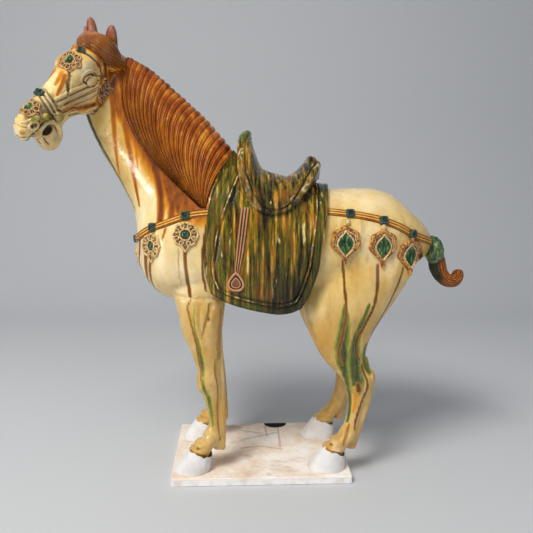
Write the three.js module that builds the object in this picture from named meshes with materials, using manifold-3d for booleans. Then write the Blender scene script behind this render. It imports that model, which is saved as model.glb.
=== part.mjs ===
// Glazed pottery tomb horse, saddled and harnessed, on a low unglazed slab.
// Millimetres, +Z up. The horse looks toward -X and its left side faces -Y.
// The origin is on the slab's underside, below the middle plane of the barrel.

import * as THREE from 'three';
import { mergeVertices } from 'three/addons/utils/BufferGeometryUtils.js';
import Module from 'manifold-3d';

// Driving dimensions
const HORSE_HEIGHT = 652; // soles to the tip of the higher ear
const PLINTH_THICKNESS = 12;
const PLINTH_MARGIN_FRONT = 2; // slab beyond the fore toes
const PLINTH_MARGIN_REAR = 6; // slab beyond the hind heels
const PLINTH_MARGIN_LEFT = 7; // slab beyond the left hooves
const PLINTH_MARGIN_RIGHT = 26; // slab beyond the right hooves
const PLINTH_SKEW = 8; // the front edge runs this far forward across the slab
const PLINTH_CORNER = 4;
const PLINTH_BEVEL = 1.2;
const SOLE_GAP = 0.3; // between the soles and the slab

const BLANKET_RISE = 5; // blanket above the coat
const BLANKET_BORDER = 12; // width of the blanket's outer border
const BLANKET_PANEL_RISE = 2.5; // inner panel above the border
const BLANKET_ROOT = 9; // depth of the blanket's underside in the coat
const SADDLE_RISE = 7; // saddle flap above the blanket
const SADDLE_RIM_WIDTH = 9; // band along the flap's lower edge
const SADDLE_RIM_RISE = 3;
const SADDLE_DEPTH = 48; // solid under the seat, down into the back
const STIRRUP_STRAP_WIDTH = 12;
const STIRRUP_STRAP_RISE = 3; // above the blanket's panel

const HARNESS_WIDTH = 11;
const HARNESS_RISE = 3;
const BEAD_WIDTH = 12; // square beads on the straps
const BEAD_RISE = 3; // above what a bead sits on
const MEDALLION_RADIUS = 19;
const MEDALLION_RISE = 3;
const MEDALLION_LOBES = 5;
const MEDALLION_NOTCH = 0.14; // depth between lobes as a share of the radius
const PENDANT_LENGTH = 56;
const PENDANT_WIDTH = 38;
const PENDANT_RISE = 4;
const PENDANT_LEAF_SHARE = 0.56; // inner leaf as a share of the pendant
const PENDANT_LEAF_RISE = 3;

const MANE_LOCKS = 20;
const MANE_RISE = 6.5; // mane above the neck
const MANE_GROOVE = 2.2; // depth of the grooves between locks

const EAR_HALF = 10;
const EAR_FLATNESS = 0.6; // thickness of an ear as a share of its width
const SINK = 6; // trim is rooted this deep in the surface below it

// The figure's stations are drawn at this height and scaled to HORSE_HEIGHT
const DRAWN_HEIGHT = 652;
const SHARE = HORSE_HEIGHT / DRAWN_HEIGHT;
const drawn = (rows) => rows.map((row) => row.map((value) => value * SHARE));

// Trunk across X: place, back, belly, half width, height of the widest line
const TRUNK = drawn([
  [-182, 366, 306, 24, 336],
  [-174, 392, 286, 42, 335],
  [-159, 410, 265, 54, 335],
  [-139, 427, 251, 62, 335],
  [-112, 438, 244, 68, 338],
  [-35, 444, 240, 78, 340],
  [20, 425, 238, 82, 335],
  [95, 412, 240, 81, 336],
  [135, 413, 247, 79, 342],
  [165, 412, 258, 76, 346],
  [194, 402, 273, 68, 348],
  [220, 380, 290, 55, 344],
  [240, 362, 304, 38, 337],
  [251, 348, 316, 20, 333],
]);

// Neck: crest x and z, throat x and z, half width, shift to the left
const NECK = drawn([
  [-28, 442, -133, 265, 54, 0],
  [-57, 477, -180, 330, 54, 0],
  [-84, 508, -190, 378, 47, 0],
  [-110, 532, -204, 412, 41, 0],
  [-138, 557, -219, 440, 35, 1],
  [-164, 579, -235, 468, 30, 3],
  [-189, 594, -248, 497, 25, 5],
  [-208, 605, -256, 524, 21, 8],
  [-219, 612, -260, 550, 17, 11],
]);

// Legs, from the body down: height, front, back, distance from the middle plane, half width
const FORELEG = drawn([
  [310, -152, -46, 36, 24],
  [268, -137, -51, 45, 28],
  [235, -124, -56, 50, 27],
  [208, -117, -59, 52, 23],
  [176, -105, -60, 53, 19],
  [146, -94, -61, 53, 16],
  [118, -90, -60, 53, 15.5],
  [98, -84, -63, 53, 10.5],
  [68, -81, -63, 53, 10],
  [42, -95, -69, 53, 13.5],
  [26, -110, -78, 53, 15],
]);
const HIND_LEG = drawn([
  [330, 96, 226, 34, 30],
  [290, 73, 215, 44, 34],
  [250, 58, 190, 50, 32],
  [220, 61, 169, 52, 28],
  [190, 73, 153, 53, 23],
  [165, 89, 149, 53, 18],
  [148, 104, 154, 53, 16],
  [129, 119, 161, 53, 15],
  [114, 124, 156, 53, 12.5],
  [96, 125, 150, 53, 10.5],
  [72, 121, 144, 53, 10],
  [57, 116, 138, 53, 12.5],
  [42, 104, 131, 53, 13.5],
  [28, 88, 122, 53, 15],
]);
const FORE_HOOF = drawn([
  [33, -109, -76, 53, 15],
  [9, -130, -77, 53, 21.5],
  [0, -131, -79, 53, 22],
]);
const HIND_HOOF = drawn([
  [33, 87, 121, 53, 15],
  [9, 67, 122, 53, 21.5],
  [0, 66, 120, 53, 22],
]);
// Tendon behind the cannon bone: height, front, back, distance, half width
const FORE_TENDON = drawn([
  [150, -78, -58, 53, 7],
  [110, -76, -57, 53, 7],
  [60, -74, -57, 53, 6],
  [28, -68, -57, 53, 4],
]);
const HIND_TENDON = drawn([
  [132, 140, 163, 53, 7],
  [100, 138, 157, 53, 7],
  [62, 128, 148, 53, 6],
  [28, 124, 137, 53, 4],
]);
const RIGHT_FORELEG_LEAN = -7 * SHARE; // the right cannon stands this far ahead of the left one

// Head frame: poll, turn to the left, nod and tilt, and length against the drawn 200
const HEAD_POLL = drawn([[-222, -20, 595]])[0];
const HEAD_TURN = THREE.MathUtils.degToRad(33.5);
const HEAD_NOD = THREE.MathUtils.degToRad(45.7);
const HEAD_TILT = THREE.MathUtils.degToRad(-28.6);
const HEAD_SIZE = 0.835 * SHARE;

// Skull in the head frame: along the face, top, bottom, half width, widest line
const SKULL = [
  [-12, 18, -24, 16, -2],
  [0, 32, -37, 27, 0],
  [20, 39, -44, 32, 2],
  [42, 40, -46, 33, 4],
  [60, 38, -42, 33, 8],
  [82, 33, -35, 29, 8],
  [104, 28, -29, 24, 5],
  [126, 25, -24, 21, 4],
  [146, 23, -14, 19, 5],
  [166, 22, -10, 19, 5],
  [186, 16, -12, 16, 2],
  [198, 4, -8, 8, -2],
];
// Lower jaw: along the face, top, bottom, half width, widest line
const JAW = [
  [30, -20, -50, 15, -36],
  [62, -24, -55, 18, -42],
  [92, -20, -45, 17, -34],
  [122, -14, -34, 15, -25],
  [146, -20, -42, 15, -31],
  [162, -30, -52, 13, -42],
  [177, -36, -50, 8, -43],
];

// Ridges of the cheek, the strap behind the eye and the nose band, in the head frame
const CHEEK_RIDGES = [
  [[120, 21, 12], [66, 31, -1]],
  [[121, 21, 3], [50, 31, -11]],
  [[122, 20, -8], [56, 27, -21]],
];
const RIDGE_RADIUS = 4;
const HEAD_STRAP = [[28, 0, 37], [32, 22, 27], [31, 31, 0], [42, 27, -22]];
const NOSE_BAND = [[124, 0, 25], [127, 14, 21], [131, 21, 8], [134, 20, -8]];
const BAND_RADIUS = 4;
const BAND_FLATNESS = 0.8;

// Lumps on both sides of the head: along, to the side, above, half sizes, faces round and down
const SIDE_LUMPS = [
  [57, 24, 17, 22, 11, 14, 6, 3], // brow over the eye
  [57, 31, 1, 8, 6, 8, 5, 3], // eye
  [72, 17, -27, 34, 9, 23, 7, 4], // cheek
  [173, 16, 5, 8, 6, 7, 5, 2], // nostril
  [46, 26, -24, 18, 7, 12, 6, 3], // rosette on the jaw
  [150, 14, -25, 12, 5, 16, 5, 3], // curled mouth corner
];
const MIDDLE_LUMPS = [
  [191, 0, -5, 8, 11, 7, 5, 4], // upper lip
  [167, 0, -47, 11, 11, 8, 5, 4], // lower lip
  [124, 1, 26, 8, 9, 6, 4, 2], // bead on the nose band
  [28, 0, 37, 6, 9, 5, 4, 2], // bead on the brow
];
const OPEN_MOUTH = [168, 0, -20, 17, 40, 8, 6, 4];
// Rosettes of the face: along, left, above, outward direction, half size across, half size along
const FACE_ROSETTES = [
  [62, 9, 33, [0, 0.4, 1], 24, 15], // forehead
  [153, 4, 21, [0.05, 0.3, 1], 19, 14], // nose
];
const FACE_ROSETTE_RISE = 3;

// Hair over the poll and the gathered forelock, then the lock swept back past the left ear
const HAIR_LUMPS = [
  [10, 0, 20, 21, 32, 22, 8, 5],
  [15, -4, 36, 12, 14, 10, 6, 3],
];
const LOCK_ROUTE = [[12, 12, 28], [6, 28, 16], [0, 31, -4], [-6, 30, -25]];
const LOCK_RADII = drawn([[15, 14, 9, 1.5]])[0];
const LOCK_FLATNESS = 0.7;

// Ears, from root to tip, the right one first
const EARS = [
  drawn([[-236, -13, 602], [-241, -4, 652]]),
  drawn([[-209, -25, 586], [-205, -32, 633]]),
];

// Mane: crest between two stations of NECK, then control points of the locks from poll to withers
const MANE_TOP_RING = 7;
const MANE_END_RING = 0.5;
const MANE_CONTROLS = [
  drawn([[-216, 500], [-152, 500], [-60, 440]]),
  drawn([[-172, 462], [-136, 440], [-74, 410]]),
  drawn([[-88, 384], [-86, 384], [-79, 382]]),
];
const MANE_ROWS = [-1, 0, 0.12, 0.4, 0.7, 1]; // shares of a lock, the far side negative
const MANE_FAR_DROP = 20 * SHARE; // how far it hangs over the crest on the right
const MANE_ROOT = 9; // depth of the mane's underside in the neck
const MANE_FADE = 0.4; // share of its rise that it loses toward the gathering place

// Blanket: front and rear edges by height share, hem by place, and the rows between them
const drawnPairs = (pairs) => pairs.map(([key, value]) => [key, value * SHARE]);
const BLANKET_FRONT = drawnPairs([
  [0, -73], [0.06, -79], [0.15, -82], [0.3, -79], [0.5, -74], [0.7, -64], [0.9, -50], [1, -43]]);
const BLANKET_REAR = drawnPairs([
  [0, 60], [0.1, 69], [0.2, 74], [0.36, 78], [0.54, 83], [0.74, 87], [0.9, 91], [1, 96]]);
const BLANKET_HEM = drawn([
  [-90, 285], [-82, 278], [-73, 267], [-62, 259], [-49, 253], [-26, 246],
  [-3, 241], [22, 238], [43, 242], [60, 250], [69, 262], [100, 285]]);
const BLANKET_TUCK = 0.03; // the cloth leans in this much below the trunk's widest line

// Saddle across X: place, top of the arch, lower edge of the flap
const SADDLE = drawn([
  [-38, 458, 447],
  [-33, 481, 424],
  [-27, 492, 404],
  [-20, 485, 392],
  [-13, 466, 384],
  [-3, 449, 378],
  [14, 435, 374],
  [31, 431, 378],
  [47, 438, 391],
  [60, 449, 409],
  [73, 457, 430],
  [82, 449, 442],
]);

// Harness: upright axis that a strap turns about, then [turn in degrees, height] along it
const BREAST_AXIS = -110 * SHARE;
const BREAST_REACH = 119; // turn at which the strap goes under the blanket
const BREAST_STRAP = drawnPairs([[0, 338], [30, 343], [50, 355], [66, 361], [94, 373], [119, 377]]);
const CRUPPER_AXIS = 170 * SHARE;
const CRUPPER_REACH = 138;
const CRUPPER_STRAP = drawnPairs([
  [0, 331], [30, 337], [57, 347], [74, 357], [97, 367], [126, 375], [138, 378]]);
const MEDALLIONS = drawnPairs([[0, 313], [48, 331], [93, 347]]);
const PENDANTS = drawnPairs([[62, 316], [94, 331], [126, 336]]);

// Stirrup strap on the blanket, and the tail's wrapped root and curled plume
const STIRRUP_STRAP = drawn([[-25, 384], [-28, 360], [-31, 335], [-36, 296]]);
const STIRRUP_LOOP = drawn([[-38, 283]])[0];
const TAIL_KNOT = drawn([[260, 0, 326]])[0];
const TAIL_KNOT_SIZE = drawn([[15, 13, 23]])[0];
const TAIL_PLUME = drawn([
  [260, 0, 314], [267, 0, 294], [275, 0, 280], [287, 0, 273], [298, 0, 277], [302, 0, 287]]);
const TAIL_RADII = drawn([[11, 10, 9, 8, 9, 7]])[0];

const LEFT = -1;
const RIGHT = 1;
const vector = (x, y, z) => new THREE.Vector3(x, y, z);

const wasm = await Module();
wasm.setup();

// Smooth rows between the given rows, `steps` to each interval
function refine(rows, steps) {
  const smooth = [];
  for (let i = 0; i + 1 < rows.length; i += 1) {
    const before = rows[Math.max(i - 1, 0)];
    const after = rows[Math.min(i + 2, rows.length - 1)];
    for (let j = 0; j < steps; j += 1) {
      const t = j / steps;
      smooth.push(rows[i].map((value, k) => {
        const next = rows[i + 1][k];
        const slope = (next - before[k]) / 2;
        const nextSlope = (after[k] - value) / 2;
        const cubic = 2 * value - 2 * next + slope + nextSlope;
        const square = 3 * (next - value) - 2 * slope - nextSlope;
        return ((cubic * t + square) * t + slope) * t + value;
      }));
    }
  }
  smooth.push(rows[rows.length - 1]);
  return smooth;
}

// Solid from points and triangles, turned so that its faces point outward
function solidFrom(points, faces) {
  let volume = 0;
  for (let i = 0; i < faces.length; i += 3) {
    const [a, b, c] = [points[faces[i]], points[faces[i + 1]], points[faces[i + 2]]];
    volume += a.dot(b.clone().cross(c));
  }
  const indices = volume < 0 ? faces.slice().reverse() : faces;
  const geometry = new THREE.BufferGeometry();
  geometry.setAttribute('position', new THREE.Float32BufferAttribute(points.flatMap((p) => p.toArray()), 3));
  geometry.setIndex(indices);
  return solidOf(geometry);
}

// Solid from a three.js geometry
function solidOf(geometry) {
  const bare = geometry.clone();
  bare.deleteAttribute('normal');
  bare.deleteAttribute('uv');
  const merged = mergeVertices(bare, 1e-4);
  return new wasm.Manifold(new wasm.Mesh({
    numProp: 3,
    vertProperties: new Float32Array(merged.attributes.position.array),
    triVerts: new Uint32Array(merged.index.array),
  }));
}

function geometryOf(solid) {
  const mesh = solid.getMesh();
  const geometry = new THREE.BufferGeometry();
  geometry.setAttribute('position', new THREE.BufferAttribute(new Float32Array(mesh.vertProperties), 3));
  geometry.setIndex(new THREE.BufferAttribute(new Uint32Array(mesh.triVerts), 1));
  return geometry;
}

function joined(solids) {
  let rest = solids;
  while (rest.length > 1) {
    const pairs = [];
    for (let i = 0; i < rest.length; i += 2) {
      pairs.push(i + 1 < rest.length ? rest[i].add(rest[i + 1]) : rest[i]);
    }
    rest = pairs;
  }
  return rest[0];
}

// Closed loft through rings of equally many points, with a fan at each end
function loft(rings) {
  const sides = rings[0].length;
  const points = rings.flat();
  const faces = [];
  for (let r = 0; r + 1 < rings.length; r += 1) {
    for (let k = 0; k < sides; k += 1) {
      const here = r * sides + k;
      const beside = r * sides + ((k + 1) % sides);
      faces.push(here, beside, beside + sides, here, beside + sides, here + sides);
    }
  }
  const last = (rings.length - 1) * sides;
  const middle = (ring) => ring.reduce((sum, p) => sum.add(p), vector(0, 0, 0)).divideScalar(sides);
  const start = points.push(middle(rings[0])) - 1;
  const end = points.push(middle(rings[rings.length - 1])) - 1;
  for (let k = 0; k < sides; k += 1) {
    const next = (k + 1) % sides;
    faces.push(start, next, k, end, last + k, last + next);
  }
  return solidFrom(points, faces);
}

// Egg-shaped ring: `half` to each side, `rise` above the centre and `drop` below it
function eggRing(centre, side, up, half, rise, drop, sides, power = 2) {
  const ring = [];
  for (let k = 0; k < sides; k += 1) {
    const angle = (2 * Math.PI * (k + 0.5)) / sides;
    const across = Math.sign(Math.cos(angle)) * Math.abs(Math.cos(angle)) ** (2 / power);
    const along = Math.sign(Math.sin(angle)) * Math.abs(Math.sin(angle)) ** (2 / power);
    ring.push(centre.clone()
      .addScaledVector(side, half * across)
      .addScaledVector(up, along * (along > 0 ? rise : drop)));
  }
  return ring;
}

const X_AXIS = vector(1, 0, 0);
const Y_AXIS = vector(0, 1, 0);
const Z_AXIS = vector(0, 0, 1);

// Trunk and neck

function trunk() {
  return loft(TRUNK.map(([x, back, belly, half, wide]) => (
    eggRing(vector(x, 0, wide), Y_AXIS, Z_AXIS, half, back - wide, wide - belly, 16))));
}

function neckRing([crestX, crestZ, throatX, throatZ, half, shift]) {
  const crest = vector(crestX, -shift, crestZ);
  const throat = vector(throatX, -shift, throatZ);
  const centre = crest.clone().add(throat).divideScalar(2);
  const up = crest.clone().sub(centre);
  const height = up.length();
  return { centre, up: up.normalize(), height, half };
}

function neck() {
  return loft(NECK.map((row) => {
    const { centre, up, height, half } = neckRing(row);
    return eggRing(centre, Y_AXIS, up, half, height, height, 14);
  }));
}

// Half width of the coat at a place on the trunk, `extra` above the skin, or 0 outside it
function trunkHalf(x, z, extra = 0) {
  const next = TRUNK.findIndex((row) => row[0] > x);
  if (next < 1) return 0;
  const [low, high] = [TRUNK[next - 1], TRUNK[next]];
  const t = (x - low[0]) / (high[0] - low[0]);
  const [, back, belly, half, wide] = low.map((value, k) => value + (high[k] - value) * t);
  const reach = z > wide ? (z - wide) / (back + extra - wide) : (wide - z) / (wide - belly + extra);
  return (half + extra) * Math.sqrt(Math.max(0, 1 - reach * reach));
}

const NECK_RINGS = refine(NECK, 4).map(neckRing);

// Half width of the neck at a place seen from the side, `extra` above the skin, or 0 outside it
function neckHalf(x, z, extra = 0) {
  let widest = 0;
  for (let i = 0; i + 1 < NECK_RINGS.length; i += 1) {
    const [a, b] = [NECK_RINGS[i], NECK_RINGS[i + 1]];
    const past = ({ centre, up }) => up.z * (x - centre.x) - up.x * (z - centre.z);
    if (past(a) * past(b) > 0) continue;
    const t = past(a) / (past(a) - past(b));
    const centre = a.centre.clone().lerp(b.centre, t);
    const up = a.up.clone().lerp(b.up, t).normalize();
    const height = THREE.MathUtils.lerp(a.height, b.height, t) + extra;
    const reach = vector(x, centre.y, z).sub(centre).dot(up) / height;
    const half = THREE.MathUtils.lerp(a.half, b.half, t) + extra;
    widest = Math.max(widest, half * Math.sqrt(Math.max(0, 1 - reach * reach)));
  }
  return widest;
}

// Reach of a leg's upper muscle from the middle plane, or 0 outside the leg
function legHalf(rows, x, z) {
  const next = rows.findIndex((row) => row[0] < z);
  if (next < 1) return 0;
  const [high, low] = [rows[next - 1], rows[next]];
  const t = (high[0] - z) / (high[0] - low[0]);
  const [, front, back, distance, half] = high.map((value, k) => value + (low[k] - value) * t);
  const reach = (2 * x - front - back) / (back - front);
  return Math.abs(reach) < 1 ? distance + half * Math.sqrt(1 - reach * reach) : 0;
}

function coatHalf(x, z, extra = 0) {
  return Math.max(
    trunkHalf(x, z, extra), neckHalf(x, z, extra), legHalf(FORELEG, x, z), legHalf(HIND_LEG, x, z));
}

// Place where a level ray from (x, 0, z) leaves the trunk, with the outward direction there.
// The turn is 0 along `ahead` (a sign on X) and 90 degrees to the flank.
function onCoat(x, z, ahead, turn, flank) {
  const reach = (height, angle) => {
    const direction = vector(ahead * Math.cos(angle), flank * Math.sin(angle), 0);
    let [inside, outside] = [0, 250 * SHARE];
    for (let i = 0; i < 24; i += 1) {
      const middle = (inside + outside) / 2;
      const half = coatHalf(x + direction.x * middle, height);
      if (Math.abs(direction.y * middle) < half) inside = middle;
      else outside = middle;
    }
    return vector(x, 0, height).addScaledVector(direction, inside);
  };
  const angle = THREE.MathUtils.degToRad(turn);
  const point = reach(z, angle);
  const along = reach(z, angle + 0.05).sub(reach(z, angle - 0.05));
  const upward = reach(z + 3, angle).sub(reach(z - 3, angle)).normalize();
  const outward = along.cross(upward).normalize();
  if (outward.dot(point.clone().setZ(0).sub(vector(x, 0, 0))) < 0) outward.negate();
  return { point, outward, upward };
}

// Closed slab below a grid of points: the far face lies `depth` in, toward `core(point)`
function slab(grid, depth, core) {
  const [rows, columns] = [grid.length, grid[0].length];
  const outer = grid.flat();
  const inner = outer.map((p) => {
    const inward = core(p).sub(p);
    return p.clone().addScaledVector(inward.normalize(), depth);
  });
  const points = [...outer, ...inner];
  const faces = [];
  const at = (r, c) => r * columns + c;
  const quad = (a, b, c, d) => faces.push(a, b, c, a, c, d);
  for (let r = 0; r + 1 < rows; r += 1) {
    for (let c = 0; c + 1 < columns; c += 1) {
      const [a, b, d, e] = [at(r, c), at(r, c + 1), at(r + 1, c + 1), at(r + 1, c)];
      quad(a, b, d, e);
      quad(e + outer.length, d + outer.length, b + outer.length, a + outer.length);
    }
  }
  const rim = [];
  for (let c = 0; c + 1 < columns; c += 1) rim.push([at(0, c), at(0, c + 1)]);
  for (let r = 0; r + 1 < rows; r += 1) rim.push([at(r, columns - 1), at(r + 1, columns - 1)]);
  for (let c = columns - 1; c > 0; c -= 1) rim.push([at(rows - 1, c), at(rows - 1, c - 1)]);
  for (let r = rows - 1; r > 0; r -= 1) rim.push([at(r, 0), at(r - 1, 0)]);
  for (const [a, b] of rim) quad(b, a, a + outer.length, b + outer.length);
  return solidFrom(points, faces);
}

// Legs

function legRings(rows, flank, sides, lean, power = 2) {
  return rows.map(([z, front, back, distance, half]) => {
    const shift = lean * Math.sin((Math.PI * z) / FORELEG[0][0]) ** 2;
    const centre = vector((front + back) / 2 + shift, flank * distance, z);
    return eggRing(centre, Y_AXIS, X_AXIS, half, (back - front) / 2, (back - front) / 2, sides, power);
  });
}

function leg(rows, hoof, tendon, flank, lean = 0) {
  return joined([
    loft(legRings(rows, flank, 10, lean)),
    loft(legRings(hoof, flank, 10, 0, 2.3)),
    loft(legRings(tendon, flank, 4, lean)),
  ]);
}

// Head

const headForward = vector(
  -Math.cos(HEAD_TURN) * Math.cos(HEAD_NOD),
  -Math.sin(HEAD_TURN) * Math.cos(HEAD_NOD),
  -Math.sin(HEAD_NOD));
const levelLeft = vector(Math.sin(HEAD_TURN), -Math.cos(HEAD_TURN), 0);
const headLeft = levelLeft.clone().applyAxisAngle(headForward, HEAD_TILT);
const headTop = headForward.clone().cross(headLeft);

// Point of the head frame: along the face, to the horse's left, above the face's axis
function headPoint(along, left, above) {
  return vector(...HEAD_POLL)
    .addScaledVector(headForward, along * HEAD_SIZE)
    .addScaledVector(headLeft, left * HEAD_SIZE)
    .addScaledVector(headTop, above * HEAD_SIZE);
}

function headLoft(rows, sides) {
  return loft(rows.map(([along, top, bottom, half, wide]) => eggRing(
    headPoint(along, 0, wide), headLeft, headTop,
    half * HEAD_SIZE, (top - wide) * HEAD_SIZE, (wide - bottom) * HEAD_SIZE, sides)));
}

// Ball or egg at a centre, from its three half axes
function egg(centre, axes, around, down) {
  const geometry = new THREE.SphereGeometry(1, around, down);
  geometry.applyMatrix4(new THREE.Matrix4().makeBasis(...axes).setPosition(centre));
  return solidOf(geometry);
}

// Lump of the head, on the left side or mirrored to the right
function headEgg([along, left, above, forwardHalf, sideHalf, topHalf, around, down], side = 1) {
  const axes = [
    headForward.clone().multiplyScalar(forwardHalf * HEAD_SIZE),
    headLeft.clone().multiplyScalar(sideHalf * HEAD_SIZE),
    headTop.clone().multiplyScalar(topHalf * HEAD_SIZE),
  ];
  return egg(headPoint(along, side * left, above), axes, around, down);
}

// Round cord through points, as a loft of rings of given radii, squashed at will
function cord(points, radii, sides, squash = 1, flat = Y_AXIS) {
  const curve = new THREE.CatmullRomCurve3(points);
  return loft(points.map((point, i) => {
    const tangent = curve.getTangent(i / (points.length - 1));
    const side = flat.clone().cross(tangent).normalize();
    const up = tangent.clone().cross(side);
    return eggRing(point, side, up, radii[i], radii[i] * squash, radii[i] * squash, sides);
  }));
}

// Leaf-shaped ear, thin from front to back
const EAR_STATIONS = [[0, 0.7], [0.45, 1], [0.78, 0.72], [1, 0.1]];

function ear([base, tip]) {
  const axis = tip.clone().sub(base);
  return loft(EAR_STATIONS.map(([t, share]) => eggRing(
    base.clone().addScaledVector(axis, t), headLeft, headForward,
    EAR_HALF * share, EAR_HALF * EAR_FLATNESS * share, EAR_HALF * EAR_FLATNESS * share, 6)));
}

// Sets a solid's geometry on a place: its +Z to the outward direction, its +Y upward
function onPlace(geometry, { point, outward, upward }, lift) {
  const side = upward.clone().cross(outward).normalize();
  const up = outward.clone().cross(side);
  const frame = new THREE.Matrix4().makeBasis(side, up, outward);
  frame.setPosition(point.clone().addScaledVector(outward, lift));
  geometry.applyMatrix4(frame);
  return solidOf(geometry);
}

// Flat plate of an outline, from `root` below the place to `rise` above it
function plate(shape, rise, place, root = SINK) {
  const geometry = new THREE.ExtrudeGeometry(shape, { depth: rise + root, bevelEnabled: false });
  return onPlace(geometry, place, -root);
}

// Lobed disc with a dome in its middle
function rosette(place, across, along, rise) {
  const outline = new THREE.Shape();
  const count = 2 * MEDALLION_LOBES;
  for (let k = 0; k < count; k += 1) {
    const angle = (2 * Math.PI * k) / count;
    const share = k % 2 === 0 ? 1 : 1 - MEDALLION_NOTCH;
    const move = k === 0 ? 'moveTo' : 'lineTo';
    outline[move](across * share * Math.cos(angle), along * share * Math.sin(angle));
  }
  const dome = new THREE.SphereGeometry(1, 6, 2).scale(along * 0.36, along * 0.36, BEAD_RISE);
  return joined([plate(outline, rise, place), onPlace(dome, place, rise)]);
}

function squareBead(place) {
  const geometry = new THREE.BoxGeometry(BEAD_WIDTH, BEAD_WIDTH, HARNESS_RISE + BEAD_RISE + SINK);
  return onPlace(geometry, place, (HARNESS_RISE + BEAD_RISE - SINK) / 2);
}

function headPlace(along, left, above, outward) {
  const [forward, side, top] = outward;
  const direction = headForward.clone().multiplyScalar(forward)
    .addScaledVector(headLeft, side).addScaledVector(headTop, top).normalize();
  return { point: headPoint(along, left, above), outward: direction, upward: headForward.clone().negate() };
}

function head() {
  const size = (value) => value * HEAD_SIZE;
  const route = (points, side) => points.map(([along, left, above]) => headPoint(along, side * left, above));
  const parts = [headLoft(SKULL, 12), headLoft(JAW, 6), ...MIDDLE_LUMPS.map((lump) => headEgg(lump))];
  for (const side of [1, -1]) {
    parts.push(...SIDE_LUMPS.map((lump) => headEgg(lump, side)));
    for (const ridge of CHEEK_RIDGES) {
      parts.push(cord(route(ridge, side), ridge.map(() => size(RIDGE_RADIUS)), 3, 1, headTop));
    }
    for (const [band, flat] of [[HEAD_STRAP, headForward], [NOSE_BAND, headTop]]) {
      parts.push(cord(route(band, side), band.map(() => size(BAND_RADIUS)), 4, BAND_FLATNESS, flat));
    }
  }
  for (const [along, left, above, outward, across, length] of FACE_ROSETTES) {
    const place = headPlace(along, left, above, outward);
    parts.push(rosette(place, size(across), size(length), FACE_ROSETTE_RISE));
  }
  return joined(parts).subtract(headEgg(OPEN_MOUTH));
}

function hair() {
  const route = LOCK_ROUTE.map(([along, left, above]) => headPoint(along, left, above));
  return joined([
    ...HAIR_LUMPS.map((lump) => headEgg(lump)),
    cord(route, LOCK_RADII, 6, LOCK_FLATNESS, headForward),
    ...EARS.map(([base, tip]) => ear([vector(...base), vector(...tip)])),
  ]);
}

// Mane: locks run from the crest to one gathering place at the withers

function maneRoute(u, extra) {
  const place = THREE.MathUtils.lerp(MANE_TOP_RING, MANE_END_RING, u) * 4;
  const [low, share] = [Math.floor(place), place % 1];
  const crest = [NECK_RINGS[low], NECK_RINGS[Math.min(low + 1, NECK_RINGS.length - 1)]].map((r) => (
    r.centre.clone().addScaledVector(r.up, r.height + extra)));
  const start = crest[0].lerp(crest[1], share);
  const control = MANE_CONTROLS.map((points) => (
    new THREE.CatmullRomCurve3(points.map(([x, z]) => vector(x, 0, z))).getPoint(u)));
  return { start, curve: new THREE.CubicBezierCurve3(start, ...control) };
}

function mane() {
  const columns = 2 * MANE_LOCKS;
  const grid = MANE_ROWS.map((t) => {
    const row = [];
    for (let j = 0; j <= columns; j += 1) {
      const fade = 1 - MANE_FADE * Math.max(0, t) ** 3;
      const extra = (MANE_RISE - (j % 2 === 0 ? MANE_GROOVE : 0)) * fade;
      const { start, curve } = maneRoute(j / columns, extra);
      if (t < 0) {
        const place = start.clone().addScaledVector(Z_AXIS, t * MANE_FAR_DROP);
        row.push(place.setY(coatHalf(place.x, place.z, extra)));
      } else if (t === 0) {
        row.push(start);
      } else {
        const place = curve.getPoint(t);
        row.push(place.setY(-coatHalf(place.x, place.z, extra)));
      }
    }
    return row;
  });
  const core = (p) => {
    const nearest = NECK_RINGS.reduce((best, ring) => (
      ring.centre.distanceTo(p) < best.centre.distanceTo(p) ? ring : best));
    return nearest.centre.clone();
  };
  return slab(grid, MANE_RISE + MANE_ROOT, core);
}

// Blanket and saddle

// Reach of a cloth that hangs from the widest line of the trunk instead of turning under
function hangingHalf(x, z, extra) {
  const row = trunkRow(x);
  const widest = row.half + extra;
  return z > row.wide ? coatHalf(x, z, extra) : widest - (row.wide - z) * BLANKET_TUCK;
}

function trunkRow(x) {
  const next = Math.max(1, TRUNK.findIndex((row) => row[0] > x));
  const [low, high] = [TRUNK[next - 1], TRUNK[next]];
  const t = (x - low[0]) / (high[0] - low[0]);
  const [, back, belly, half, wide] = low.map((value, k) => value + (high[k] - value) * t);
  return { back, belly, half, wide };
}

// Height of the back or crest at a place
function coatTop(x) {
  const crest = NECK.map(([crestX, crestZ]) => [crestX, crestZ]).reverse();
  return x < NECK[0][0] ? Math.max(trunkRow(x).back, along(crest, x)) : trunkRow(x).back;
}

// Value at t of a list of [t, value] pairs
function along(pairs, t) {
  const next = Math.max(1, pairs.findIndex((pair) => pair[0] >= t));
  const [[t0, v0], [t1, v1]] = [pairs[next - 1], pairs[next]];
  return THREE.MathUtils.mapLinear(t, t0, t1, v0, v1);
}

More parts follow.
